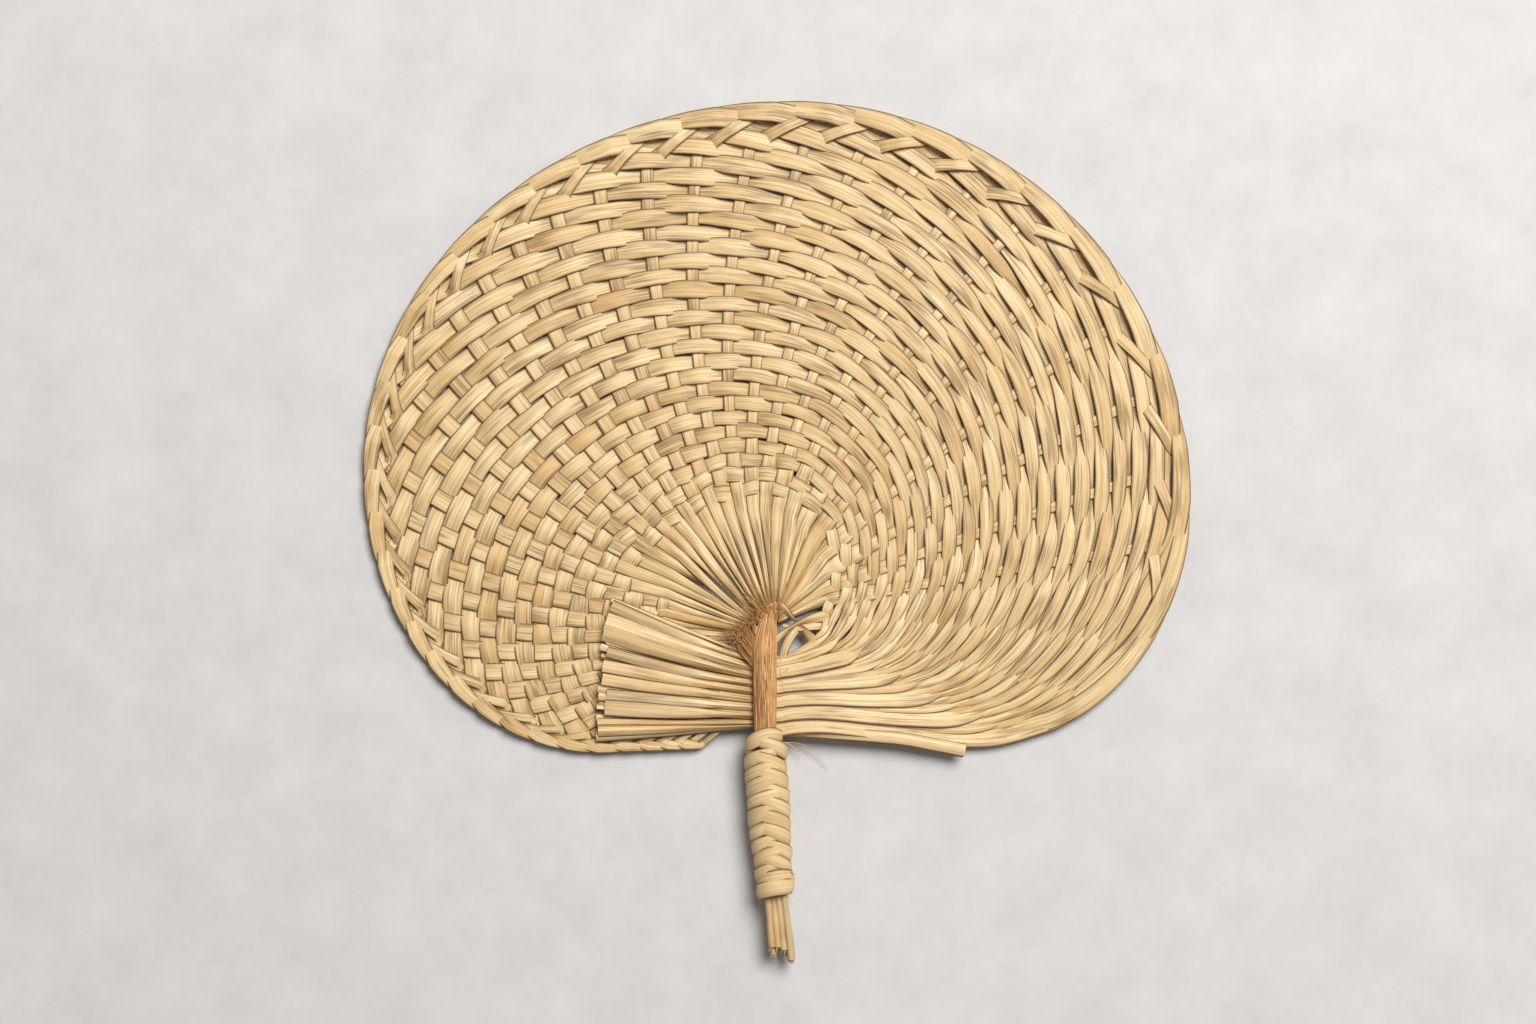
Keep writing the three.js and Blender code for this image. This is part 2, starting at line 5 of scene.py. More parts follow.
import bmesh
import bpy
import numpy as np
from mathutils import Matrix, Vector


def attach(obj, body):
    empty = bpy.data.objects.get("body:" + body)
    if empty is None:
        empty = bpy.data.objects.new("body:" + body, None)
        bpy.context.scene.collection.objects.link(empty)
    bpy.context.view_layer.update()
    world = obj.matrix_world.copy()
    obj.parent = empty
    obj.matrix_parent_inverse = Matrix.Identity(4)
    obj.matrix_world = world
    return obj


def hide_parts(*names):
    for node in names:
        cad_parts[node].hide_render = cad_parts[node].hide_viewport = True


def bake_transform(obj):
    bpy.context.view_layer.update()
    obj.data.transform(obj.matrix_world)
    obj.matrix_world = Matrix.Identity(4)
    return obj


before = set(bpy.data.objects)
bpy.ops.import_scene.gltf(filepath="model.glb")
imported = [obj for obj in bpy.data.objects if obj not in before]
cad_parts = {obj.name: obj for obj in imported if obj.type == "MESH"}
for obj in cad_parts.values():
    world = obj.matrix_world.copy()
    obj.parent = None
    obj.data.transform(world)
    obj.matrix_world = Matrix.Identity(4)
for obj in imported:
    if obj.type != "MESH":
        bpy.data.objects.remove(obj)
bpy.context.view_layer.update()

scene = bpy.context.scene

# Sizes are in millimetres from the hub, where the leaflets leave the stalk. MM and HUB take them to the
# row frame, whose origin is the flat under the middle of the handle. Angles run anticlockwise from the right.
MM = 0.001
HUB = (-1.755087, 84.136364)
DEGREE = pi / 180

# Blade outline
CROWN = (10, 204)
LEFT_SIDE = (-161, 56)
RIGHT_SIDE = (171, 44)
LEFT_LOBE = (-66, -57)
RIGHT_LOBE = (88, -53)
OPEN_EDGE_INSET = 2.0

# Leaflets, counted clockwise from the left lobe. RIB_PITCHES gives the degrees from a leaflet to the next,
# FIRST_ROWS how far from the hub the weave starts at an angle in degrees.
LEAFLETS = 40
FIRST_RIM_ANGLE = 250 * DEGREE
RIB_PITCHES = ((0, 4.9), (12, 5.1), (18, 5.7), (26, 6.4), (33, 7.2), (36, 9.6), (45, 11.2))
FIRST_ROWS = ((-85, 18.6), (-40, 21), (0, 24), (25, 29), (50, 39), (75, 45), (110, 47), (180, 48))
FIRST_ROW_BLEND = 5
WIDEST_ROW = 7.2
LEAF_THICKNESS = 0.3
LEAF_STEP = 1.6

# Half strips: split halves of the first leaflets, woven in under the cut ends
HALF_STRIPS = 3
HALF_STRIP_START = 246 * DEGREE
HALF_STRIP_END = 166 * DEGREE

# Pleats, where the leaflets leave the stalk
PLEAT_STEPS = 26
PLEAT_ROOT_WIDTH = 1.5
PLEAT_ROOT_FOLD = 1.2
PLEAT_FULLNESS = 1.06
PLEAT_LIFTS = (1.6, 0.2)
ROOT_AGE = 0.6
DULLEST_PLEAT = 0.4
GOLDEN_RATIO = 0.618

# Ribs. They swirl clockwise on their way out, except for the last ones.
SWIRL = 16 * DEGREE
SWIRL_RAMP = 12
STRAIGHT_RIBS = (LEAFLETS - 1, 32)
LAST_RIB_START = 40
RIB_START_GAP = 3
RIB_STEP = 1.3
RIB_FOLD = 0.35
RIB_RISE = 0.4
RIB_END_DROP = 0.9
RIB_END_RUN = 7
RIB_WIDTHS = (8, 7.0)
RIB_NARROWING = (30, 70)
RIB_FULLNESS = 1.04
LATE_RIBS = (20, 31)
LATE_RIB_SHARE = 0.6
LATE_RIB_RUN = (8, 36)

# Wefts. They narrow on their way round: the early ones most, and all of them before the bundle.
LAST_FLOAT = 42
BRAID_STEP = 1 / 20
WEFT_STEP = 1 / 12
FINE_STEPS_END = 2.6
LEAF_WIDTH = 7.8
EARLY_WEFTS = (0, 22)
NARROWINGS = (3.3, 1.7)
NARROWING_RANGE = (195, 15)
LATE_NARROWING = 2.7
LATE_RANGE = (15, -35)
LEAST_SPREAD, MOST_SPREAD = 0.05, 0.92
ROW_SHARES = (1.08, 1.2)
LENS_LEANS = (0.05, 0.8)
FLOAT_SHIFT = 0.1
WAVERS = (0.7, 0.25)
WAVERING_WEFTS = (0, 4)
WIDTH_WAVER = 0.09
FLOAT_ROLL = -0.16
WEFT_RISE = 0.95
LEAST_RISE = 0.35
RISE_SHARE = 0.04
WEFT_ROLL = 0.35
SETTLED_LIFT = 0.6
FLOAT_CROWN = 0.08
LENS_CROWN = 0.04
LEAF_AGE = 0.06

# Inner edge of the weave and the place where the wefts gather
INNER_ANGLE = 75 * DEGREE
GATHER_START = -30 * DEGREE
GATHERED_ANGLE = -85 * DEGREE
GATHERED_DEPTH = 47

# Layers of the bundle: how high a strip lies, its least and greatest width, and its fold
BUNDLE_LAYERS = (
    (-1.6, 2.2, 3.4, 0.6), (-0.9, 2.2, 3.4, 0.6), (-0.2, 2.4, 3.6, 0.5), (1.0, 3.6, 5.0, 0.2),
    (-1.6, 2.2, 3.4, 0.6), (-0.9, 2.2, 3.4, 0.6), (0.2, 2.4, 3.6, 0.4), (1.7, 6.0, 7.8, 0.1),
)
BUNDLE_STATIONS = (0.12, 0.24, 0.36, 0.48, 0.6, 0.72, 0.86)
BUNDLE_PARTING = 0.3
BUNDLE_SWELL = 0.4
SLIT_AGE = 0.12

# Heights
RIM_HEIGHT = 2.23
HUB_SWELL = 3.6
SWELL_Y = 20
SWELL_RADIUS = 70
AXIS_HEIGHT = 8.55

# Plaited rim: what a leaflet does from its rib's end to its first float. Each row is how many ribs it
# has passed, the distance to the rim, the lift over the blade's middle, and the strip's width.
BRAID = (
    (0.00, -12.4, -0.9, 6.0), (0.16, -10.8, 0.8, 4.2), (0.44, -8.4, 1.9, 3.6), (0.74, -5.6, 0.9, 3.8),
    (0.95, -3.2, -1.0, 4.0), (1.10, -2.0, -0.7, 3.8), (1.30, -2.3, 0.7, 4.4), (1.70, -2.9, 1.7, 5.6),
    (2.20, -3.6, 2.1, 6.6), (2.60, -5.0, 1.4, 6.6), (2.95, -7.4, -0.2, 6.6), (3.30, -10.8, -1.0, 6.6),
)
BRAID_STAGES, BRAID_INSETS, BRAID_LIFTS, BRAID_WIDTHS = zip(*BRAID)
BRAID_DEPTH = 6.4
BRAID_ROWS = 2.6
BRAID_CROWN = 0.12
BRAID_END = (2.5, 3.4)
LATE_TURN_STAGE = 1.1
LATE_TURNS = {36: 1.25, 37: 1.6, 38: 2.2, 39: 3.2}

# The rim is broad from the crown on, slender at its start, flatter on the right, and ends at the lower right
BROAD_RIM = (150 * DEGREE, 90 * DEGREE)
BROAD_RIM_SIZE = 1.22
RIM_START = (190, 225)
RIM_START_LOSS = 0.2
RIM_START_WIDTH = 0.8
RIGHT_RIM = (60, 20)
RIGHT_RIM_WIDTH = 0.95
RIGHT_RIM_LIFT = 0.65
TUCKED_LOSS = 0.3
TUCKED_START = (0.8, 1.0)
TUCKED_END = (1.7, 1.2)
RIM_END = (-14 * DEGREE, 10 * DEGREE)

# Stalk. It leans to the right below the blade. The leaflets leave it along its sides and head.
STALK_SIDE = 5
STALK_HEAD = 5
STALK_END = -139
SLIT_TOP = -15.5
SLIT_BOTTOM = -51.6
SLIT_HALF = 2.2
WINDING_BOTTOM = -115.5
HANDLE_LEAN = 7
LEAN_POWER = 1.4
ROOT_TOP = -4
ROOT_RUN_LEFT = 20
ROOT_RUN_RIGHT = 3
ROOT_INSET = 0.6
ROOT_SHIFT = 0.8
ROOT_SLOPE = 0.5

# Distances from the stalk's middle for a bend of the leaf that lifts off the blade; no bend is made with them
BEND_START = 4
BEND_END = 14


def ease(start, end, value):
    """0 at the start, 1 at the end, with soft ends."""
    t = min(max((value - start) / (end - start), 0), 1)
    return t * t * (3 - 2 * t)


def lerp(a, b, share):
    return a + (b - a) * share


def add_object(name, data):
    made = bpy.data.objects.new(name, data)
    scene.collection.objects.link(made)
    return made


def linear(colour):
    """An sRGB hex colour as linear RGBA."""
    channels = [int(colour[i:i + 2], 16) / 255 for i in (1, 3, 5)]
    return [c / 12.92 if c <= 0.04045 else ((c + 0.055) / 1.055) ** 2.4 for c in channels] + [1]


# The blade's rule

def rim_radius(angle):
    """Distance from the hub to the blade's outline: a quarter ellipse or the lower edge."""
    dx, dy = cos(angle), sin(angle)
    quarters = (
        (CROWN[0], LEFT_SIDE[1], LEFT_SIDE[0], CROWN[1]),
        (CROWN[0], RIGHT_SIDE[1], RIGHT_SIDE[0], CROWN[1]),
        (RIGHT_LOBE[0], RIGHT_SIDE[1], RIGHT_SIDE[0], RIGHT_LOBE[1]),
        (LEFT_LOBE[0], LEFT_SIDE[1], LEFT_SIDE[0], LEFT_LOBE[1]),
    )
    for centre_x, centre_y, side_x, end_y in quarters:
        a, b = side_x - centre_x, end_y - centre_y
        square = (dx / a) ** 2 + (dy / b) ** 2
        half = dx * centre_x / a ** 2 + dy * centre_y / b ** 2
        rest = (centre_x / a) ** 2 + (centre_y / b) ** 2 - 1
        root = half ** 2 - square * rest
        if root < 0:
            continue
        reach = (half + sqrt(root)) / square
        if reach > 0 and (reach * dx - centre_x) * a >= 0 and (reach * dy - centre_y) * b >= 0:
            return reach
    slope = (RIGHT_LOBE[1] - LEFT_LOBE[1]) / (RIGHT_LOBE[0] - LEFT_LOBE[0])
    return (LEFT_LOBE[1] - slope * LEFT_LOBE[0]) / (dy - slope * dx)


def rib_pitch(leaflet):
    return float(np.interp(leaflet, *zip(*RIB_PITCHES))) * DEGREE


# Rim angles of the leaflets, with a few places more at both ends for what runs past them
SPARE_PLACES = 5
PLACES = np.arange(-SPARE_PLACES, LAST_FLOAT + 3)
RIM_ANGLES = -np.concatenate([[0], np.cumsum([rib_pitch(place) for place in PLACES[:-1]])])
RIM_ANGLES += FIRST_RIM_ANGLE - RIM_ANGLES[SPARE_PLACES]


def rim_angle(place):
    return float(np.interp(place, PLACES, RIM_ANGLES))


def first_row(angle):
    """The weave's inner edge. Where few leaflets are turned yet, rows stay close and it lies further out."""
    least = float(np.interp(angle / DEGREE, *zip(*FIRST_ROWS)))
    close = edge_radius(angle) - WIDEST_ROW * rows_at(angle)
    return (least + close + hypot(least - close, FIRST_ROW_BLEND)) / 2


def at_rim_start(angle):
    return ease(*RIM_START, angle / DEGREE)


def braid_size(angle):
    """The plaited rim is broader at the crown and on the right, and slender at its start."""
    return lerp(1.0, BROAD_RIM_SIZE, ease(*BROAD_RIM, angle)) - RIM_START_LOSS * at_rim_start(angle)


def braided(angle):
    """1 where the rim is plaited, 0 where the wefts run on to the stalk."""
    return ease(*RIM_END, angle)


def edge_radius(angle):
    """The weave's outer edge, inside the plaited rim."""
    inset = lerp(OPEN_EDGE_INSET, BRAID_DEPTH * braid_size(angle), braided(angle))
    return lerp(rim_radius(angle) - inset, GATHERED_DEPTH, ease(GATHER_START, GATHERED_ANGLE, angle))


def rows_at(angle):
    """How many wefts lie side by side here."""
    turned = min(float(np.interp(-angle, -RIM_ANGLES, PLACES)) + 0.5, LEAFLETS)
    return max(turned - BRAID_ROWS * braided(angle), 1)


def row_pitch(angle):
    return (edge_radius(angle) - first_row(angle)) / rows_at(angle)


def row_radius(leaflet, angle):
    return first_row(angle) + row_pitch(angle) * (leaflet + 0.5)


def rib_angle(leaflet, radius):
    """A rib runs clockwise as it goes outwards. The last ones run straight, over the small hole."""
    swirl = SWIRL * min(leaflet / SWIRL_RAMP, 1) * ease(*STRAIGHT_RIBS, leaflet)
    return rim_angle(leaflet) + swirl * (1 - radius / rim_radius(rim_angle(leaflet)))


def rib_room(leaflet, radius):
    """The room between a rib's neighbours at this distance from the hub."""
    return (rib_angle(leaflet - 0.5, radius) - rib_angle(leaflet + 0.5, radius)) * radius


def crossing_angle(weft, rib):
    """Where a weft crosses a rib, found in a few rounds."""
    angle = rim_angle(rib)
    for _ in range(10):
        angle = rib_angle(rib, min(row_radius(weft, angle), rim_radius(angle)))
    return angle


def blade_height(x, y):
    return RIM_HEIGHT + HUB_SWELL * exp(-(x ** 2 + (y - SWELL_Y) ** 2) / SWELL_RADIUS ** 2)


def bundle_height(x, y):
    """The blade's height, climbing to the stalk's axis where the wefts gather."""
    climb = ease(70, 8, x) * ease(10, -15, y)
    return lerp(blade_height(x, y), AXIS_HEIGHT, climb)


def handle_x(y):
    along = min(max((SLIT_BOTTOM - y) / (SLIT_BOTTOM - STALK_END), 0), 1)
    return HANDLE_LEAN * along ** LEAN_POWER


def root_point(leaflet):
    """Where a leaflet leaves the stalk: up its left side, round its head and down its right side."""
    half = STALK_SIDE - ROOT_INSET
    arc = pi * half
    run = leaflet / (LEAFLETS - 1) * (ROOT_RUN_LEFT + arc + ROOT_RUN_RIGHT)
    if run < ROOT_RUN_LEFT:
        return -half, ROOT_TOP - ROOT_RUN_LEFT + run
    if run < ROOT_RUN_LEFT + arc:
        turn = pi - (run - ROOT_RUN_LEFT) / half
        x, y = half * cos(turn), half * sin(turn)
        return x + ROOT_SHIFT, ROOT_TOP + y + ROOT_SLOPE * x
    return half + ROOT_SHIFT, ROOT_TOP + ROOT_SLOPE * half - (run - ROOT_RUN_LEFT - arc)


# Node trees
MATHS = "ShaderNodeMath"
VECTORS = "ShaderNodeVectorMath"
MIX = "ShaderNodeMix"
MAP_RANGE = "ShaderNodeMapRange"
NAMED = "GeometryNodeInputNamedAttribute"
STORE = "GeometryNodeStoreNamedAttribute"
SMOOTH_ANGLE = 50 * DEGREE


def wire(tree, made, links):
    """Links or sets a node's inputs. A node given as an input stands for the first of its outputs in use."""
    for key, value in links.items():
        if isinstance(value, bpy.types.Node):
            value = next(socket for socket in value.outputs if socket.enabled)
        if isinstance(value, bpy.types.NodeSocket):
            tree.links.new(value, made.inputs[key])
        else:
            made.inputs[key].default_value = value


def node(tree, kind, links=(), **settings):
    """Adds a node with its settings and links."""
    made = tree.nodes.new(kind)
    for name, value in settings.items():
        setattr(made, name, value)
    wire(tree, made, dict(links))
    return made


def geometry_tree(name):
    tree = bpy.data.node_groups.new(name, "GeometryNodeTree")
    for label, kind in (("Geometry", "Geometry"), ("points", "Int"), ("leaf", "Material")):
        tree.interface.new_socket(label, in_out="INPUT", socket_type="NodeSocket" + kind)
    tree.interface.new_socket("Geometry", in_out="OUTPUT", socket_type="NodeSocketGeometry")
    return tree, tree.nodes.new("NodeGroupInput").outputs


def leaf_strip_tree():
    """Sweeps a thin strip along each line, from what strip_line puts on the line's points."""
    tree, given = geometry_tree("leaf_strip")
    value = {"points": given["points"]}
    for name in ("centre", "side", "up"):
        value[name] = node(tree, NAMED, {"Name": name}, data_type="FLOAT_VECTOR")
    for name in ("half_width", "pleat", "crown", "along", "seed"):
        value[name] = node(tree, NAMED, {"Name": name})

    # The profile is a ring of points, half of them over the strip and half of them back under it
    count = node(tree, MATHS, {0: given["points"], 1: 2.0}, operation="MULTIPLY")
    profile = node(tree, "GeometryNodeCurvePrimitiveCircle", {"Resolution": count})
    ring = node(tree, "GeometryNodeCaptureAttribute", {"Geometry": profile})
    ring.capture_items.new("FLOAT", "place")
    tree.links.new(node(tree, "GeometryNodeInputIndex").outputs["Index"], ring.inputs["place"])
    value["place"] = ring.outputs["place"]
    line = node(tree, "GeometryNodeMeshToCurve", {"Mesh": given["Geometry"]})
    swept = node(tree, "GeometryNodeCurveToMesh", {
        "Curve": line, "Profile Curve": ring.outputs["Geometry"], "Fill Caps": True})

    # How far across the strip a point lies, from -1 to 1, and how high: the skin's half thickness, the
    # crown's arch and the pleat's ridge
    for name, operation, *inputs in (
            ("middle", "SUBTRACT", "points", 0.5),
            ("offset", "SUBTRACT", "place", "middle"),
            ("away", "ABSOLUTE", "offset"),
            ("twice", "MULTIPLY", "away", 2.0),
            ("inward", "SUBTRACT", "twice", "points"),
            ("steps", "SUBTRACT", "points", 1.0),
            ("across", "DIVIDE", "inward", "steps"),
            ("flat", "MULTIPLY", "half_width", "across"),
            ("edge", "ABSOLUTE", "across"),
            ("under", "GREATER_THAN", "offset", 0.0),
            ("face", "SUBTRACT", 0.5, "under"),
            ("skin", "MULTIPLY", LEAF_THICKNESS * MM, "face"),
            ("square", "MULTIPLY", "across", "across"),
            ("bulge", "SUBTRACT", 1.0, "square"),
            ("arch", "MULTIPLY_ADD", "crown", "bulge", "skin"),
            ("ridge", "SUBTRACT", 0.5, "edge"),
            ("height", "MULTIPLY_ADD", "pleat", "ridge", "arch"),
            ("above", "MULTIPLY_ADD", "up", "height", "centre"),
            ("spot", "MULTIPLY_ADD", "side", "across", "above")):
        kind = VECTORS if name in ("above", "spot") else MATHS
        links = {i: value.get(key, key) for i, key in enumerate(inputs)}
        value[name] = node(tree, kind, links, operation=operation)
    moved = node(tree, "GeometryNodeSetPosition", {"Geometry": swept, "Position": value["spot"]})

    # The place on the flat leaf and the nearness to its edge, for the material, which darkens the edges with
    # the leaf's own edge colour and painted shade
    along, flat, seed, edge = (value[name] for name in ("along", "flat", "seed", "edge"))
    cloth = node(tree, "ShaderNodeCombineXYZ", {"X": along, "Y": flat, "Z": seed})
    stored = node(tree, STORE, {"Geometry": moved, "Name": "strip", "Value": cloth}, data_type="FLOAT_VECTOR")
    stored = node(tree, STORE, {"Geometry": stored, "Name": "edge", "Value": edge})
    finish_tree(tree, stored, given["leaf"])
    return tree


def fibre_tree():
    """Sweeps a round fibre along each line, from what fibre_line puts on the line's points."""
    tree, given = geometry_tree("plant_fibre")
    thick, along, seed = (node(tree, NAMED, {"Name": name})
                          for name in ("thick", "along", "seed"))
    line = node(tree, "GeometryNodeMeshToCurve", {"Mesh": given["Geometry"]})
    profile = node(tree, "GeometryNodeCurvePrimitiveCircle", {"Resolution": given["points"], "Radius": 1.0})
    swept = node(tree, "GeometryNodeCurveToMesh", {
        "Curve": line, "Profile Curve": profile, "Scale": thick, "Fill Caps": True})
    cloth = node(tree, "ShaderNodeCombineXYZ", {"X": along, "Z": seed})
    stored = node(tree, STORE, {"Geometry": swept, "Name": "strip", "Value": cloth}, data_type="FLOAT_VECTOR")
    finish_tree(tree, stored, given["leaf"])
    return tree


def finish_tree(tree, geometry, material):
    """Smooths the faces but not the sharp edges, realizes and sets the material."""
    smooth = node(tree, "GeometryNodeSetShadeSmooth", {"Geometry": geometry, "Shade Smooth": True})
    angle = node(tree, "GeometryNodeInputMeshEdgeAngle")
    sharp = node(tree, MATHS, {0: angle, 1: SMOOTH_ANGLE}, operation="GREATER_THAN")
    creased = node(tree, "GeometryNodeSetShadeSmooth", {
        "Geometry": smooth, "Selection": sharp, "Shade Smooth": False}, domain="EDGE")
    whole = node(tree, "GeometryNodeRealizeInstances", {"Geometry": creased})
    painted = node(tree, "GeometryNodeSetMaterial", {"Geometry": whole, "Material": material})
    node(tree, "NodeGroupOutput", {"Geometry": painted})


def run_tree(name, lines, tree, points, material):
    """Turns lines into a finished mesh object. A line is a dict of arrays, one value a point."""
    mesh = bpy.data.meshes.new(name + "_line")
    places = np.concatenate([line["centre"] for line in lines])
    ends = np.cumsum([len(line["centre"]) for line in lines])
    edges = [(i - 1, i) for i in range(1, len(places)) if i not in ends]
    mesh.from_pydata(places.tolist(), edges, [])
    for key in lines[0]:
        values = np.concatenate([np.asarray(line[key], float) for line in lines])
        if values.ndim == 2:
            mesh.attributes.new(key, "FLOAT_VECTOR", "POINT").data.foreach_set("vector", values.ravel())
        else:
            mesh.attributes.new(key, "FLOAT", "POINT").data.foreach_set("value", values)
    piece = add_object(name, mesh)
    sweep = piece.modifiers.new("sweep", "NODES")
    sweep.node_group = tree
    for label, value in (("points", points), ("leaf", material)):
        sweep[tree.interface.items_tree[label].identifier] = value
    graph = bpy.context.evaluated_depsgraph_get()
    made = bpy.data.meshes.new_from_object(piece.evaluated_get(graph))
    piece.modifiers.clear()
    piece.data = made
    made.name = name
    bpy.data.meshes.remove(mesh)
    for spare in set(lines[0]) - {"age"}:
        if spare in made.attributes:
            made.attributes.remove(made.attributes[spare])
    face_outwards(made)
    return piece


def face_outwards(mesh):
    """Turns a closed mesh's faces outwards if its volume is negative."""
    shape = bmesh.new()
    shape.from_mesh(mesh)
    if shape.calc_volume(signed=True) < 0:
        mesh.flip_normals()
    shape.free()


# Lines

def to_row(points):
    """Hub millimetres to row metres."""
    moved = np.array(points, float)
    moved[:, 0] += HUB[0]
    moved[:, 1] += HUB[1]
    return moved * MM


def through(stations, step):
    """A smooth line through stations, each a row of numbers that starts with x, y, z."""
    rows = np.array(stations, float)
    lengths = np.linalg.norm(np.diff(rows[:, :3], axis=0), axis=1)
    before = np.vstack([2 * rows[0] - rows[1], rows, 2 * rows[-1] - rows[-2]])
    made = []
    for i in range(len(rows) - 1):
        p0, p1, p2, p3 = before[i:i + 4]
        for t in np.linspace(0, 1, max(int(lengths[i] / step), 2), endpoint=False):
            made.append(0.5 * (2 * p1 + (p2 - p0) * t + (2 * p0 - 5 * p1 + 4 * p2 - p3) * t ** 2
                               + (3 * p1 - p0 - 3 * p2 + p3) * t ** 3))
    made.append(rows[-1])
    return np.array(made)


def lengths_along(places):
    return np.concatenate([[0], np.cumsum(np.linalg.norm(np.diff(places, axis=0), axis=1))])


def strip_line(rows, seed, normal=None):
    """A strip's line from rows of x, y, z, width, fold, crown, age, roll. Widths are flat, in millimetres."""
    rows = np.asarray(rows, float)
    places = rows[:, :3]
    width, fold, crown, age, roll = rows[:, 3:].T
    ahead = np.gradient(places, axis=0)
    ahead /= np.linalg.norm(ahead, axis=1)[:, None]
    up = np.tile([0.0, 0.0, 1.0], (len(rows), 1)) if normal is None else np.array(normal, float)
    side = np.cross(up, ahead)
    side /= np.linalg.norm(side, axis=1)[:, None]
    up = np.cross(ahead, side)
    c, s = np.cos(roll)[:, None], np.sin(roll)[:, None]
    side, up = side * c + up * s, up * c - side * s
    half_width = width / 2 * MM
    return {
        "centre": to_row(places), "side": side * (half_width * np.cos(fold))[:, None], "up": up,
        "half_width": half_width, "pleat": half_width * np.sin(fold), "crown": crown * MM,
        "along": lengths_along(places) * MM, "seed": np.full(len(rows), seed), "age": age,
    }


def fibre_line(places, thick, seed, age):
    """A fibre's line through these places, tapered to its tip."""
    places = np.asarray(places, float)
    taper = np.linspace(1, 0.45, len(places))
    return {
        "centre": to_row(places), "thick": thick * taper * MM, "along": lengths_along(places) * MM,
        "seed": np.full(len(places), seed), "age": np.full(len(places), age),
    }


def plaited_turn(stage, angle):
    """Distance to the rim, lift and width of a leaflet at a stage of its turn round the plaited rim."""
    inset, lift, width = (float(np.interp(stage, BRAID_STAGES, values))
                          for values in (BRAID_INSETS, BRAID_LIFTS, BRAID_WIDTHS))
    size = braid_size(angle)
    right = ease(*RIGHT_RIM, angle / DEGREE)
    tucked = ease(*TUCKED_START, stage) * ease(*TUCKED_END, stage)
    width *= size * lerp(1, RIM_START_WIDTH, at_rim_start(angle))
    width *= lerp(1, RIGHT_RIM_WIDTH, right) - TUCKED_LOSS * right * tucked
    return min(inset * size, -width / 2), lift * size ** 2 * lerp(1, RIGHT_RIM_LIFT, right), width


def weft_row(leaflet, passed, angle):
    """A weft's place, width and crown where it has passed this many ribs since its own."""
    pitch = row_pitch(angle)
    phase = pi * passed
    turned = angle / DEGREE
    narrowing = lerp(*NARROWINGS, ease(*EARLY_WEFTS, leaflet))
    leaf = LEAF_WIDTH - narrowing * ease(*NARROWING_RANGE, turned)
    leaf -= LATE_NARROWING * ease(*LATE_RANGE, turned)

    # A float is a lens: the more its leaf is wider than its row, the more it spreads between two ribs
    spread = min(max(leaf / pitch - 1, LEAST_SPREAD), MOST_SPREAD)
    lens = 1 + spread * cos(phase + lerp(*LENS_LEANS, spread))
    width = min(leaf, lerp(*ROW_SHARES, spread) * pitch * lens)
    width *= 1 + WIDTH_WAVER * sin(7.7 * leaflet + 2.3 * passed)
    waver = sin(12.9 * leaflet + 1.7 * passed) + sin(4.1 * leaflet + 0.61 * passed)
    radius = row_radius(leaflet, angle) - FLOAT_SHIFT * spread * pitch * sin(phase)
    radius += lerp(*WAVERS, ease(*WAVERING_WEFTS, leaflet)) * waver
    roll = FLOAT_ROLL * spread
    settle = ease(LAST_FLOAT - 1, LEAFLETS, leaflet + passed)
    rise = min(WEFT_RISE, LEAST_RISE + RISE_SHARE * rib_pitch(leaflet + passed) * radius)
    lift = (rise * cos(phase) - WEFT_ROLL * sin(phase)) * lerp(SETTLED_LIFT, 1, settle)
    crown = (FLOAT_CROWN + LENS_CROWN * spread) * (0.6 + 0.4 * cos(phase))

    # A leaflet comes out of the plaited rim before it is a weft. The last ones take longer to turn.
    stage = passed
    if passed >= LATE_TURN_STAGE:
        stage = LATE_TURN_STAGE + (passed - LATE_TURN_STAGE) / LATE_TURNS.get(leaflet, 1)
    on_weft = ease(*BRAID_END, stage)
    if leaflet >= 0 and on_weft < 1:
        turn_angle = rim_angle(leaflet + passed)
        inset, turn_lift, turn_width = plaited_turn(stage, turn_angle)
        radius = lerp(rim_radius(turn_angle) + inset, radius, on_weft)
        angle = lerp(turn_angle, angle, on_weft)
        lift = lerp(turn_lift, lift, on_weft)
        width = lerp(turn_width, width, on_weft)
        crown = lerp(BRAID_CROWN, crown, on_weft)
        roll *= on_weft
    x, y = radius * cos(angle), radius * sin(angle)
    middle = bundle_height(x, y) if angle < INNER_ANGLE else blade_height(x, y)
    return x, y, middle + lift, width, 0.0, crown, LEAF_AGE, roll


def half_strip_rows(leaflet):
    """A split half of an early leaflet, woven in as an inner weft under the cut ends."""
    crossings = [crossing_angle(leaflet, rib) for rib in range(LEAFLETS)]
    first, last = (float(np.interp(-angle, -np.array(crossings), range(LEAFLETS)))
                   for angle in (HALF_STRIP_START, HALF_STRIP_END))
    last = int(last) - (int(last) - leaflet + 1) % 2
    return [weft_row(leaflet, place - leaflet, float(np.interp(place, range(LEAFLETS), crossings)))
            for place in np.arange(first, last + 0.2, WEFT_STEP)]


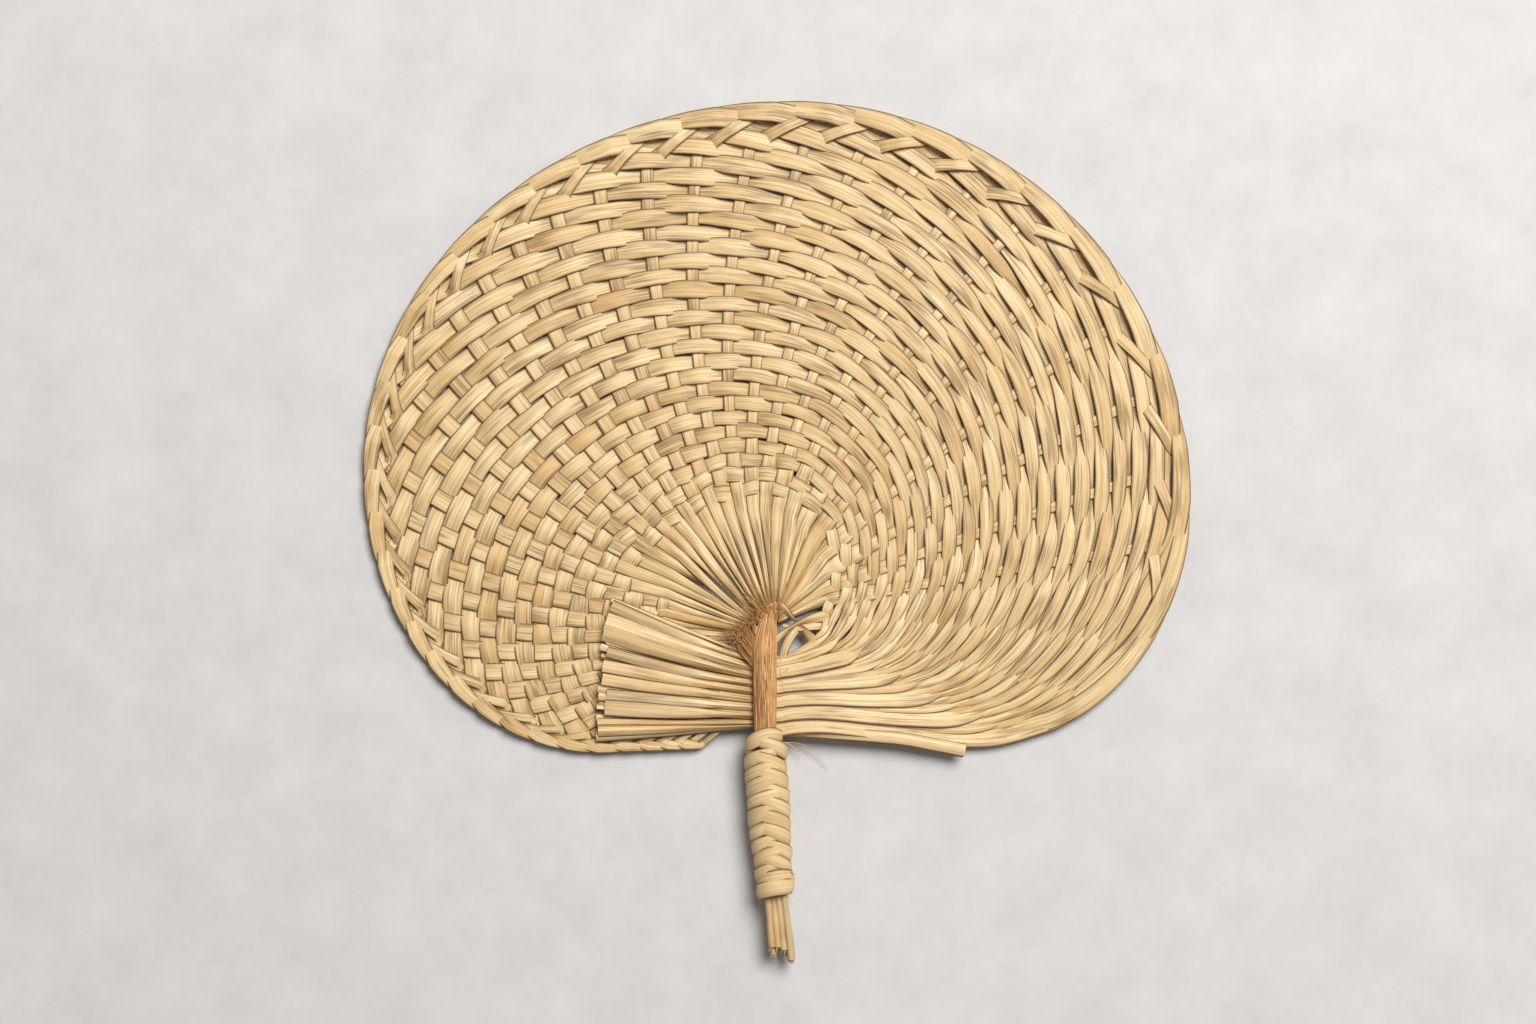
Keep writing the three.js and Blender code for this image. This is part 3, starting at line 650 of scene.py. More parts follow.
def pleat_rows(leaflet, rib_start, open_fold, chance):
    """The pleated root: a fold that opens on its way to the first weft."""
    rows = []
    root_x, root_y = root_point(leaflet)
    start = rib_angle(leaflet, rib_start)
    start_x, start_y = rib_start * cos(start), rib_start * sin(start)
    tilt = chance(-0.45, 0.45)
    lift = chance(-0.9, 1.3)
    shift = chance(-0.6, 0.6)
    wide = chance(0.74, 1.16)
    dull = DULLEST_PLEAT * (GOLDEN_RATIO * leaflet % 1) ** 2
    for share in np.linspace(0, 1, PLEAT_STEPS, endpoint=False):
        swell = sin(pi * share)
        x = lerp(root_x, start_x, share) + shift * swell * sin(start)
        y = lerp(root_y, start_y, share) - shift * swell * cos(start)
        z = blade_height(x, y) + lerp(*PLEAT_LIFTS, share) + lift * swell
        room = lerp(PLEAT_ROOT_WIDTH, PLEAT_FULLNESS * rib_room(leaflet, rib_start), share ** 0.85)
        room *= lerp(1, wide, swell)
        fold = lerp(PLEAT_ROOT_FOLD, open_fold, share ** 0.6)
        age = ROOT_AGE * exp(-share * 9) + dull * exp(-share * 1.6)
        rows.append((x, y, z, room / cos(fold), fold, 0.1, age, tilt * swell))
    return rows


def rib_rows(leaflet, rib_start, open_fold):
    """The rib, under and over the wefts of the leaflets before it, from the pleats to the plaited rim."""
    rows = []
    rim = rim_angle(leaflet)
    rib_end = rim_radius(rim) + BRAID_INSETS[0] * braid_size(rim)
    late = ease(*LATE_RIBS, leaflet)
    radius = rib_start
    while radius < rib_end:
        angle = rib_angle(leaflet, radius)
        x, y = radius * cos(angle), radius * sin(angle)
        place = (radius - first_row(angle)) / row_pitch(angle) - 0.5
        woven = ease(-1.2, 0, place) * ease(leaflet - 1.5, leaflet - 2.5, place)
        lift = -RIB_RISE * cos(pi * (place - leaflet)) * woven
        lift -= RIB_END_DROP * ease(rib_end - RIB_END_RUN, rib_end, radius)
        lift += PLEAT_LIFTS[1] * ease(rib_start + 10, rib_start, radius)
        fold = open_fold * ease(rib_start + 16, rib_start, radius)
        slim = late * ease(*LATE_RIB_RUN, radius - rib_start)
        room = min(lerp(*RIB_WIDTHS, ease(*RIB_NARROWING, radius)),
                   RIB_FULLNESS * rib_room(leaflet, radius))
        width = room * lerp(1, LATE_RIB_SHARE, slim) / cos(fold)
        rows.append((x, y, blade_height(x, y) + lift, width, fold, 0.08, 0.04, 0.0))
        radius += RIB_STEP
    return rows


def bundle_rows(leaflet, last_row, first_angle, chance):
    """The strips run side by side into the slit in layers, every eighth one broad, flat and on top."""
    layer, narrow, wide, folded = BUNDLE_LAYERS[leaflet % len(BUNDLE_LAYERS)]
    width = chance(narrow, wide)
    wander = chance(-0.2, 0.2)
    fold = folded * chance(0.5, 1.5)
    tilt = chance(0.25, 0.4)
    stations = [last_row]
    for share in BUNDLE_STATIONS:
        angle = lerp(first_angle, GATHERED_ANGLE, share)
        radius = row_radius(leaflet, angle)
        x, y = radius * cos(angle), radius * sin(angle)
        parted = ease(0, BUNDLE_PARTING, share) * (1 + BUNDLE_SWELL * sin(pi * share))
        z = bundle_height(x, y) + parted * layer + wander
        stations.append((x, y, z, width, fold, 0.1, LEAF_AGE, tilt))
    depth = -row_radius(leaflet, GATHERED_ANGLE)
    for x in (STALK_SIDE + 1, 0, -STALK_SIDE + 1):
        stations.append((x, depth, AXIS_HEIGHT + layer + wander, width, fold, 0.1, SLIT_AGE, tilt))
    return [tuple(row) for row in through(stations, LEAF_STEP)[1:]]


def leaflet_rows(leaflet, chance):
    """One leaflet: pleated root, rib, plaited turn, weft over and under the later ribs, bundle."""
    rim = rim_angle(leaflet)
    rib_start = min(LAST_RIB_START, first_row(rim) - RIB_START_GAP)
    open_fold = RIB_FOLD * chance(0.2, 1.0)
    rows = pleat_rows(leaflet, rib_start, open_fold, chance) + rib_rows(leaflet, rib_start, open_fold)
    crossings = [rim] + [crossing_angle(leaflet, rib) for rib in range(leaflet + 1, LAST_FLOAT + 1)]
    passed = BRAID_STEP
    while passed < LAST_FLOAT - leaflet:
        rows.append(weft_row(leaflet, passed, float(np.interp(passed, range(len(crossings)), crossings))))
        passed += WEFT_STEP if passed > FINE_STEPS_END else BRAID_STEP
    return rows + bundle_rows(leaflet, rows[-1], crossings[-1], chance)


# Materials

def leaf_material(name, light, middle, dark, stain, weathering):
    """Dried palm leaf: a satin straw skin with fine lengthwise veins, broader pale and tan bands, and grey
    smoky streaks where the leaf weathered. Its edges are darker: a soft painted shade where a strip dips
    under its neighbours, and a thin dark line, partly the leaf's own darker edge and partly painted shade
    between the strips. It browns with age towards the stalk."""
    material = bpy.data.materials.new(name)
    material.use_nodes = True
    tree = material.node_tree
    strip, edge, age = (node(tree, "ShaderNodeAttribute", attribute_name=key).outputs[output]
                        for key, output in (("strip", "Vector"), ("edge", "Fac"), ("age", "Fac")))

    def grain(along_mm, across_mm, detail, shift):
        """A pattern stretched along the leaf, with grains of these sizes."""
        scale = (1 / (along_mm * MM), 1 / (across_mm * MM), shift)
        place = node(tree, VECTORS, {0: strip, 1: scale}, operation="MULTIPLY")
        return node(tree, "ShaderNodeTexNoise", {"Vector": place, "Scale": 1.0, "Detail": detail})

    # The veins of a real leaf are finer than shows in the picture, so they are drawn 0.32 mm apart
    veins = grain(45, 0.32, 2.0, 3.1)
    bands = grain(70, 0.8, 3.0, 7.3)
    patches = grain(14, 6, 3.0, 5.7)
    streaks = grain(18, 0.6, 3.0, 9.1)
    smoke = grain(20, 5, 1.0, 2.3)
    whole_leaf = grain(1000, 1000, 0.0, 17.3)
    smoky = node(tree, MATHS, {0: streaks, 1: smoke}, operation="MULTIPLY")

    # Each layer of colour: its pattern, where it starts and is full, its strength, colour and way of mixing
    tone = linear(middle)
    for pattern, start, full, strength, colour, blend in (
            (bands, 0.36, 0.6, 1.0, light, "MIX"),
            (patches, 0.5, 0.75, 0.5, stain, "MIX"),
            (whole_leaf, 0.4, 0.7, 0.4, stain, "MIX"),
            (veins, 0.55, 0.3, 0.55, "#C4BCAD", "MULTIPLY"),
            (smoky, 0.26, 0.37, weathering, dark, "MIX"),
            # Painted shade at the strip's edges: a soft darkening where it dips under its neighbours, then a
            # thin dark line that is partly the leaf's own darker edge and partly painted shade between the
            # strips
            (edge, 0.5, 1.0, 0.3, "#8A6434", "MIX"),
            (edge, 0.83, 0.94, 0.9, "#5A3E1C", "MIX"),
            (age, 0.0, 1.0, 1.0, "#8A5F2E", "MIX")):
        share = node(tree, MAP_RANGE, {
            "Value": pattern, "From Min": start, "From Max": full, "To Max": strength})
        tone = node(tree, MIX, {0: share, 6: tone, 7: linear(colour)}, data_type="RGBA", blend_type=blend)
    gloss = node(tree, MAP_RANGE, {
        "Value": veins, "From Min": 0.3, "From Max": 0.7, "To Min": 0.62, "To Max": 0.46})
    relief = node(tree, "ShaderNodeBump", {"Height": veins, "Strength": 0.5, "Distance": 0.12 * MM})
    wire(tree, tree.nodes["Principled BSDF"], {
        "Base Color": tone, "Roughness": gloss, "Normal": relief, "IOR": 1.45})
    return material


# The weathered leaflets, their paler cut ends, the clean strip of the winding, and the stalk's brown fibre
dried_leaf = leaf_material("dried_palm_leaf", "#F8DFAD", "#E2BD81", "#7A5C36", "#D2A25C", 0.6)
cut_leaf = leaf_material("cut_palm_leaf", "#FAE3B4", "#E4C087", "#7A5C36", "#D2A562", 0.3)
wound_leaf = leaf_material("wound_palm_leaf", "#FAE0AE", "#EECC94", "#7A5C36", "#DDB272", 0.15)
stalk_fibre = leaf_material("split_palm_stalk", "#F0C486", "#B87638", "#6E4420", "#C07E38", 0.6)


# Camera and light: straight above, the whole photograph 614.4 mm wide at the fan
VIEW_WIDTH = 0.6144
VIEW_CENTRE = (-0.000555, 0.123336)
VIEW_HEIGHT = 0.006
LENS_MM = 60
SENSOR_MM = 36
LAMP_AIM = (0, 0.11, 0)
FLOOR_REACH = 30.0
FLOOR_HEIGHT = -0.0002

camera = add_object("camera", bpy.data.cameras.new("camera"))
camera.data.lens = LENS_MM
camera.data.sensor_width = SENSOR_MM
camera.location = (*VIEW_CENTRE, VIEW_WIDTH * LENS_MM / SENSOR_MM + VIEW_HEIGHT)
scene.camera = camera

lamp = add_object("softbox", bpy.data.lights.new("softbox", "AREA"))
lamp.data.shape = "DISK"
lamp.data.size = 1.5
lamp.data.energy = 84
lamp.location = (0.8, 1.35, 2.2)
lamp.rotation_mode = "QUATERNION"
lamp.rotation_quaternion = (Vector(LAMP_AIM) - lamp.location).to_track_quat("-Z", "Y")

world = bpy.data.worlds.new("studio")
world.use_nodes = True
wire(world.node_tree, world.node_tree.nodes["Background"], {"Color": (1, 1, 1, 1), "Strength": 0.2})
scene.world = world
scene.view_settings.view_transform = "Standard"

# Floor of honed pale stone: matt, faintly mottled in patches of about 30 mm, with fine pits
stone = bpy.data.materials.new("honed_stone_floor")
stone.use_nodes = True
tree = stone.node_tree
place = node(tree, "ShaderNodeTexCoord").outputs["Object"]
mottle = node(tree, "ShaderNodeTexNoise", {
    "Vector": place, "Scale": 1 / (31.25 * MM), "Detail": 9.0, "Roughness": 0.68})
share = node(tree, MAP_RANGE, {"Value": mottle, "From Min": 0.3, "From Max": 0.7})
tone = node(tree, MIX, {0: share, 6: linear("#CDCAC7"), 7: linear("#DAD7D5")}, data_type="RGBA")
pits = node(tree, "ShaderNodeTexNoise", {"Vector": place, "Scale": 1 / (1.43 * MM), "Detail": 2.0})
relief = node(tree, "ShaderNodeBump", {"Height": pits, "Strength": 0.15, "Distance": 0.1 * MM})
wire(tree, tree.nodes["Principled BSDF"], {"Base Color": tone, "Normal": relief, "Roughness": 0.9})

floor = add_object("floor", bpy.data.meshes.new("floor"))
corners = [(x * FLOOR_REACH, y * FLOOR_REACH, FLOOR_HEIGHT) for x, y in ((-1, -1), (1, -1), (1, 1), (-1, 1))]
floor.data.from_pydata(corners, [], [(0, 1, 2, 3)])
floor.data.materials.append(stone)


# Pieces
LEAF_STRIP = leaf_strip_tree()
FIBRE = fibre_tree()


def finish_piece(piece, slot, *nodes, body=None, way=0):
    """Fastens a piece to the fan, or, for a piece given a body left (-1) or right (1) of the stalk, bakes its
    transform and leaves it loose; no bend is made.
    """
    if body:
        start, end = to_row([(way * BEND_START, 0, AXIS_HEIGHT), (way * BEND_END, 0, AXIS_HEIGHT)])
        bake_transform(piece)
    else:
        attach(piece, "fan")
    if nodes:
        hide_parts(*nodes)


def swept_piece(name, lines, material, slot, *nodes, tree=LEAF_STRIP, points=5, **joint):
    finish_piece(run_tree(name, lines, tree, points, material), slot, *nodes, **joint)


# Leaflets
LEAF_SEED_STEP = 0.731
HALF_STRIP_SEED = 40
for leaflet in range(LEAFLETS):
    chance = random.Random(leaflet + 1).uniform
    number = f"{leaflet + 1:02d}"
    seed = LEAF_SEED_STEP * leaflet
    lines = [strip_line(leaflet_rows(leaflet, chance), seed)]
    if leaflet < HALF_STRIPS:
        lines.append(strip_line(half_strip_rows(-1 - leaflet), HALF_STRIP_SEED + seed))
    swept_piece(f"palm_leaflet_{number}", lines, dried_leaf, "dried_leaf", f"leaflet_{number}")

# Upper tail: the cut ends of the leaflets, fanned out left of the stalk in three layers. The broad ones lie
# on top. Roots and tips run from the highest strip to the lowest.
TAILS = 4
TAIL_STRIPS = 8
BROAD_STRIPS = (2, 6)
BROAD_LAYER = 1.1
TAIL_LAYERS = (-1.2, 0.1)
TAIL_ROOTS = (-17.6, -43)
TAIL_TIPS = (4.6, -40.5)
TAIL_TIP_X = -65
TAIL_TIP_SLANT = 5.5
TAIL_TIP_HEIGHT = 7.6
TAIL_ROOT_WIDTH = 2.6
TAIL_ROOT_FOLD = 0.9
TAIL_ROOT_AGE = 0.3
TAIL_AGE = 0.03
TAIL_SEED_STEP = 0.83
for tail in range(TAILS):
    chance = random.Random(100 + tail).uniform
    lines = []
    for strip in range(TAIL_STRIPS):
        share = (tail + (strip + 0.5) / TAIL_STRIPS) / TAILS
        root_y = lerp(*TAIL_ROOTS, share)
        tip_x = TAIL_TIP_X + TAIL_TIP_SLANT * (1 - share) ** 2 + chance(-2.6, 2.6)
        tip_y = lerp(*TAIL_TIPS, share) + chance(-1.2, 1.2)
        broad = strip in BROAD_STRIPS
        layer = BROAD_LAYER if broad else TAIL_LAYERS[strip % 2] + chance(-0.4, 0.4)
        wide = chance(5.0, 8.5) if broad else chance(2.2, 4.8)
        tip_fold = chance(0.1, 0.35) if broad else chance(0.3, 1.0)
        tilt = chance(-0.55, 0.45)
        bend = chance(-0.2, 0.2)
        stations = []
        for reach in (-0.1, 0.0, 0.2, 0.45, 0.72, 1.0):
            x = lerp(-STALK_SIDE, tip_x, reach)
            y = lerp(root_y, tip_y, max(reach, 0) ** 1.15 + bend * reach * (1 - reach))
            drop = ease(0, 1, reach)
            z = lerp(AXIS_HEIGHT + 0.8 * layer, TAIL_TIP_HEIGHT + layer, drop) + sin(pi * drop)
            width = lerp(TAIL_ROOT_WIDTH, wide, ease(-0.1, 0.9, reach))
            fold = lerp(TAIL_ROOT_FOLD, tip_fold, ease(0, 0.6, reach))
            age = TAIL_ROOT_AGE * exp(-9 * max(reach, 0)) + TAIL_AGE
            stations.append((x, y, z, width, fold, 0.1, age, tilt * drop))
        lines.append(strip_line(through(stations, LEAF_STEP), seed=50 + tail * 9 + TAIL_SEED_STEP * strip))
    swept_piece(f"cut_leaf_ends_{tail + 1}", lines, cut_leaf, "cut_leaf_ends", f"leaf_tail_{tail + 1}",
                body="upper_tail", way=-1)

# Lower tail: the shorter tuft under it
LOWER_STRIPS = 5
LOWER_ROOTS = (-44.2, -46.8)
LOWER_TIPS = (-43.5, -50.5)
LOWER_TIP_X = -67.5
LOWER_ROOT_DROP = 0.6
LOWER_TIP_HEIGHT = 6.6
LOWER_LAYER = 1.3
chance = random.Random(120).uniform
lines = []
for strip in range(LOWER_STRIPS):
    share = strip / (LOWER_STRIPS - 1)
    root_y, tip_y = lerp(*LOWER_ROOTS, share), lerp(*LOWER_TIPS, share)
    tip_x = LOWER_TIP_X + chance(-1.2, 1.2)
    layer = (strip % 2 - 0.5) * LOWER_LAYER
    stations = []
    for reach in (-0.1, 0.0, 0.25, 0.55, 1.0):
        x, y = lerp(-STALK_SIDE, tip_x, reach), lerp(root_y, tip_y, max(reach, 0))
        z = lerp(AXIS_HEIGHT - LOWER_ROOT_DROP, LOWER_TIP_HEIGHT, ease(0, 1, reach)) + layer
        opened = ease(0, 0.9, reach)
        width = lerp(3, chance(4.6, 6), opened)
        fold = lerp(1.2, chance(0.5, 0.8), opened)
        stations.append((x, y, z, width, fold, 0.1, TAIL_AGE, 0.2 * sin(5 * strip)))
    lines.append(strip_line(through(stations, LEAF_STEP), seed=90 + TAIL_SEED_STEP * strip))
swept_piece("lower_cut_leaf_ends", lines, cut_leaf, "cut_leaf_ends", "lower_leaf_tail",
            body="lower_tail", way=-1)

# Loose strip: one leaflet's end, folded double, that sticks out below the bundle on the right. Each station
# is x, y, z, width and fold. The lower half lies a little back, aside and down, and is narrower.
LOOSE_STATIONS = (
    (0, -48.4, 8.6, 3.0, 1.0), (7, -48.5, 8.8, 3.8, 0.7), (25, -48.9, 8.9, 4.8, 0.3),
    (52, -51.0, 8.4, 5.0, 0.25), (66, -53.3, 7.9, 5.2, 0.25), (80, -56.0, 7.4, 5.4, 0.3),
)
LOWER_HALF_SHIFT = (0.6, 0.9, 0.75, 1.0)
lines = []
for lower in (0, 1):
    back, aside, down, narrower = (lower * shift for shift in LOWER_HALF_SHIFT)
    stations = [(x - back, y - aside, z - down, width - narrower, fold, 0.15, TAIL_AGE, 0.0)
                for x, y, z, width, fold in LOOSE_STATIONS]
    lines.append(strip_line(through(stations, LEAF_STEP), seed=97 + lower))
swept_piece("loose_leaf_strip", lines, wound_leaf, "dried_leaf", "loose_strip", body="loose_end", way=1)

# Twisted strips across the small hole right of the stalk. Each station is x, y, z, width and roll.
TWISTED = (
    (((5.0, 2.6, 8.0, 2.6, 0.1), (7.6, 0.9, 8.2, 2.8, 0.3), (10.2, -2.2, 8.0, 3.0, 0.8),
      (12.9, -5.4, 7.8, 2.8, 1.1), (16.6, -9.4, 7.4, 4.0, 0.5), (20.4, -13.2, 6.6, 4.6, 0.1),
      (23, -16, 5.0, 4.6, 0.0)),
     ((12.6, -8.0, 8.0, 3.0, -0.4), (10.4, -10.6, 8.6, 3.4, -0.2), (8.2, -14.6, 8.2, 3.6, 0.0),
      (7.0, -20, 6.8, 3.6, 0.0))),
    (((31, -1.0, 4.4, 4.4, 0.0), (26, -1.9, 5.8, 4.6, 0.0), (20.8, -3.0, 7.6, 4.6, -0.2),
      (15.4, -4.4, 8.4, 3.6, -0.8), (10.4, -6.8, 8.8, 2.6, -1.0), (6.8, -9.6, 9.0, 2.6, -0.4),
      (3.6, -12.4, 9.0, 2.6, 0.0)),
     ((25, -6.4, 4.6, 3.6, 0.0), (20.4, -6.2, 7.2, 3.8, 0.2), (15.6, -6.8, 7.6, 3.2, 0.5),
      (11.2, -7.2, 7.6, 2.6, 0.2), (7, -6.4, 7.6, 2.4, 0.0))),
)
TWISTED_FOLD = 0.3
TWISTED_STEP = 0.6
for number, paths in enumerate(TWISTED, 1):
    lines = []
    for path, stations in enumerate(paths):
        rows = [(x, y, z, wide, TWISTED_FOLD, 0.1, SLIT_AGE, roll) for x, y, z, wide, roll in stations]
        lines.append(strip_line(through(rows, TWISTED_STEP), seed=103 + number + 0.37 * path))
    swept_piece(f"twisted_leaf_strip_{number}", lines, dried_leaf, "dried_leaf", f"gap_strip_{number}")

# Split stalk: its fibres stand out as ridges that sway along it, and its head is torn. A ridge is its
# height, its number round the half stalk, its sway, the sway's pace and its start. A tear is its height,
# number and start.
RIDGES = ((0.3, 15, 1.3, 0.11, 0), (0.2, 29, 1.0, 0.2, 0), (0.12, 47, 0.7, 0.17, 2))
TWIST_HEIGHT, TWIST_COUNT, TWIST_PACE = 0.2, 6, 0.13
TEARS = ((0.7, 7, 1), (0.8, 19, 0), (0.6, 31, 2))
FIBRE_PITCH = 0.6
STALK_RINGS = 130
STALK_POINTS = 60
STALK_HALF_WIDTH = 4.7
HEAD_NARROWING = 1.9
FOOT_NARROWING = 0.4
STALK_TOP = 5.2
HEAD_DROP = 3.6
HEAD_SHIFT = 1.7
CLOSED_SLIT = 0.15
SQUARENESS = 0.62


def at_head(y):
    return ease(-14, STALK_HEAD - 3, y)


def half_stalk(face):
    """Rings of the stalk's front (1) or back (-1) half, ridged along its fibres, torn at its head and parted
    at the slit."""
    rings = []
    turns = np.linspace(0, pi, STALK_POINTS)
    torn = [sum(height * sin(count * turn + start) for height, count, start in TEARS) for turn in turns]
    for y in np.linspace(STALK_HEAD - 4, WINDING_BOTTOM + 4, STALK_RINGS):
        head = at_head(y)
        half = STALK_HALF_WIDTH - HEAD_NARROWING * head - FOOT_NARROWING * ease(-10, -50, y)
        top = STALK_TOP - HEAD_DROP * head
        slit = ease(SLIT_TOP + 4, SLIT_TOP - 3, y) * ease(SLIT_BOTTOM - 4, SLIT_BOTTOM + 3, y)
        gap = lerp(CLOSED_SLIT, SLIT_HALF, slit)
        ring = []
        for turn, tear in zip(turns, torn):
            ridge = sum(height * sin(count * turn + sway * sin(pace * y) + start)
                        for height, count, sway, pace, start in RIDGES)
            ridge += TWIST_HEIGHT * sin(TWIST_COUNT * turn + TWIST_PACE * y)
            out = copysign(abs(cos(turn)) ** 0.8, cos(turn))
            rise = gap + (top - gap + ridge) * sin(turn) ** SQUARENESS
            x = handle_x(y) + HEAD_SHIFT * head + (half + 0.5 * ridge) * out
            ring.append((x, y + (tear + 1.5 * out) * head ** 2, AXIS_HEIGHT + face * rise))
        rings.append(ring)
    return rings


points, faces, cloth = [], [], []
for face, seed in ((1, 111.0), (-1, 113.0)):
    rings = half_stalk(face)
    start, last = len(points), len(points) + (STALK_RINGS - 1) * STALK_POINTS
    for ring in rings:
        points += ring
        cloth += [(-place[1] * MM, j * FIBRE_PITCH * MM, seed) for j, place in enumerate(ring)]
    for a in range(start, last, STALK_POINTS):
        for j in range(STALK_POINTS):
            k = (j + 1) % STALK_POINTS
            faces.append((a + j, a + k, a + STALK_POINTS + k, a + STALK_POINTS + j))
    faces += [tuple(range(start, start + STALK_POINTS)), tuple(reversed(range(last, last + STALK_POINTS)))]
mesh = bpy.data.meshes.new("split_leaf_stalk")
mesh.from_pydata(to_row(points).tolist(), [], faces)
mesh.attributes.new("strip", "FLOAT_VECTOR", "POINT").data.foreach_set("vector", np.ravel(cloth))
mesh.polygons.foreach_set("use_smooth", [len(face) == 4 for face in faces])
mesh.materials.append(stalk_fibre)
face_outwards(mesh)
finish_piece(add_object("split_leaf_stalk", mesh), "split_stalk", "leaf_stalk")

# Strands of the bare handle end: pithy rods of uneven thickness in three layers, split and torn off unevenly.
# A layer is its height over the axis and its number of strands.
STRAND_LAYERS = ((2.2, 4), (0.2, 5), (-2.4, 4))
STRANDS_WIDTH = 9.2
STRAND_START = -110
SHORTEST_STRAND = -132.5
STRAND_POINTS = 20
STRAND_SIDES = 10
TORN_ENDS = 7
TORN_END_AGE = 0.4
chance = random.Random(130).uniform
lines = []
for layer, (z, count) in enumerate(STRAND_LAYERS):
    for strand in range(count):
        offset = (strand - (count - 1) / 2) * STRANDS_WIDTH / count + chance(-0.25, 0.25)
        end = chance(SHORTEST_STRAND, STALK_END + 1) if strand < count - 1 else STALK_END
        lean, thick = chance(0.9, 1.1), chance(1.1, 1.4)
        places = [(handle_x(y) + offset * lerp(0.92, lean, ease(-112, -135, y)), y,
                   AXIS_HEIGHT + z + 0.15 * sin(0.4 * y + strand))
                  for y in np.linspace(STRAND_START, end, STRAND_POINTS)]
        swell = 1 + 0.06 * np.sin(np.linspace(0, 9, STRAND_POINTS) + 2 * strand)
        rod = fibre_line(places, thick, 140 + layer * 5 + strand, chance(0.1, 0.5))
        lines.append({**rod, "thick": thick * swell * MM})
        for _ in range(TORN_ENDS):
            spot = np.array(places[-1]) + [chance(-0.9, 0.9), 0.6, chance(-0.9, 0.9)]
            push = np.array([chance(-0.7, 0.7), -chance(1.0, 2.6), chance(-0.4, 0.4)])
            splinter = [spot + push * t for t in np.linspace(0, 1, 4)]
            lines.append(fibre_line(splinter, chance(0.2, 0.45), chance(150, 170), TORN_END_AGE))
swept_piece("handle_end_strands", lines, cut_leaf, "split_stalk", tree=FIBRE, points=STRAND_SIDES)

# Brown fibres: those that lie on the stalk's front, those that run up into the pleats, the torn sheath left
# of its head, and the frayed tuft at the sheath's edge
FRONT_FIBRES = 90
RISING_FIBRES = 70
SHEATH_FIBRES = 110
FRAYED_FIBRES = 110
FIBRE_SEEDS = (170, 200)
FRONT_HEAD_DROP = 3.4
FRONT_REACH = 4.2
PLEAT_HEIGHT = 7.8
SHEATH_ROOT_X = -3.6
SHEATH_ROOT_Y = (-24, -8)
SHEATH_TIP_X = (-13, -4)
SHEATH_TIP_Y = (-12.5, -4.5)
TUFT_X = (-12.5, -3)
TUFT_Y = (-12, -4)
TUFT_POINTS = 14
chance = random.Random(140).uniform
lines = []


def add_fibre(places, thick, *ages):
    lines.append(fibre_line(places, thick, chance(*FIBRE_SEEDS), chance(*ages)))


for _ in range(FRONT_FIBRES):
    start_y, length = chance(STALK_HEAD - 5, -38), chance(10, 26)
    x, drift = chance(-4, 4), chance(-0.03, 0.03)
    places = []
    for t in np.linspace(0, 1, 12):
        y = max(start_y - length * t, SLIT_BOTTOM)
        across = min(max(x + drift * length * t, -FRONT_REACH), FRONT_REACH)
        head = at_head(y)
        top = (STALK_TOP - FRONT_HEAD_DROP * head) * sin(acos(across / 4.9)) ** SQUARENESS
        places.append((HEAD_SHIFT * head + across * (1 - 0.4 * head), y - 0.001 * t,
                       AXIS_HEIGHT + top + 0.1 + 0.25 * sin(9 * t + x)))
    add_fibre(places, chance(0.14, 0.32), -0.2, 0.4)
for _ in range(RISING_FIBRES):
    turn = chance(50, 150) * DEGREE
    x, y = chance(-2.5, 4.5), chance(-7, 0)
    length = chance(5, 15)
    rise = chance(0.3, 1.6)
    places = [(x + length * t * cos(turn + 0.3 * t), y + length * t * sin(turn + 0.3 * t),
               lerp(AXIS_HEIGHT + 2.2, PLEAT_HEIGHT, t) + rise * sin(pi * t))
              for t in np.linspace(0, 1, 10)]
    add_fibre(places, 0.15, 0.1, 0.6)
for _ in range(SHEATH_FIBRES):
    share = chance(0, 1)
    root_z, tip_z = AXIS_HEIGHT + chance(2.2, 3.6), AXIS_HEIGHT + chance(0.4, 1.8)
    root = np.array([SHEATH_ROOT_X, lerp(*SHEATH_ROOT_Y, share), root_z])
    tip = np.array([lerp(*SHEATH_TIP_X, share), lerp(*SHEATH_TIP_Y, share), tip_z])
    bow, end = chance(-0.8, 0.8), chance(0.55, 1.15)
    bowed = np.array([bow, bow, 0.9])
    places = [lerp(root, tip, t) + bowed * sin(pi * t) for t in np.linspace(0, end, 9)]
    add_fibre(places, chance(0.14, 0.26), 0, 0.5)
for _ in range(FRAYED_FIBRES):
    share = chance(0, 1)
    place = np.array([lerp(*TUFT_X, share), lerp(*TUFT_Y, share), AXIS_HEIGHT + chance(0.6, 2.6)])
    turn, curl = chance(70, 260) * DEGREE, chance(-3.4, 3.4)
    step = chance(4, 9) / (TUFT_POINTS - 1)
    places = []
    for t in np.linspace(0, 1, TUFT_POINTS):
        places.append(tuple(place))
        way = turn + curl * t
        place = place + np.array([cos(way), sin(way), chance(-0.3, 0.3)]) * step
    add_fibre(places, 0.16, 0.2, 0.9)
swept_piece("frayed_stalk_fibres", lines, stalk_fibre, "split_stalk", "stalk_fibres", tree=FIBRE)

# Two loose hairs of leaf right of the handle
HAIRS = (
    ((7, -52.5, 7.4), (11, -54.6, 5.4), (14, -57.6, 3.4), (13.4, -60.6, 2.0)),
    ((7, -53.0, 7.2), (14, -53.6, 5.0), (20, -57.6, 2.6), (25, -64, 1.2)),
)
HAIR_THICKNESS = 0.2
lines = [fibre_line(through(hair, 1.0), HAIR_THICKNESS, 210 + i, 0.0) for i, hair in enumerate(HAIRS)]
swept_piece("loose_leaf_hairs", lines, cut_leaf, "dried_leaf", tree=FIBRE)

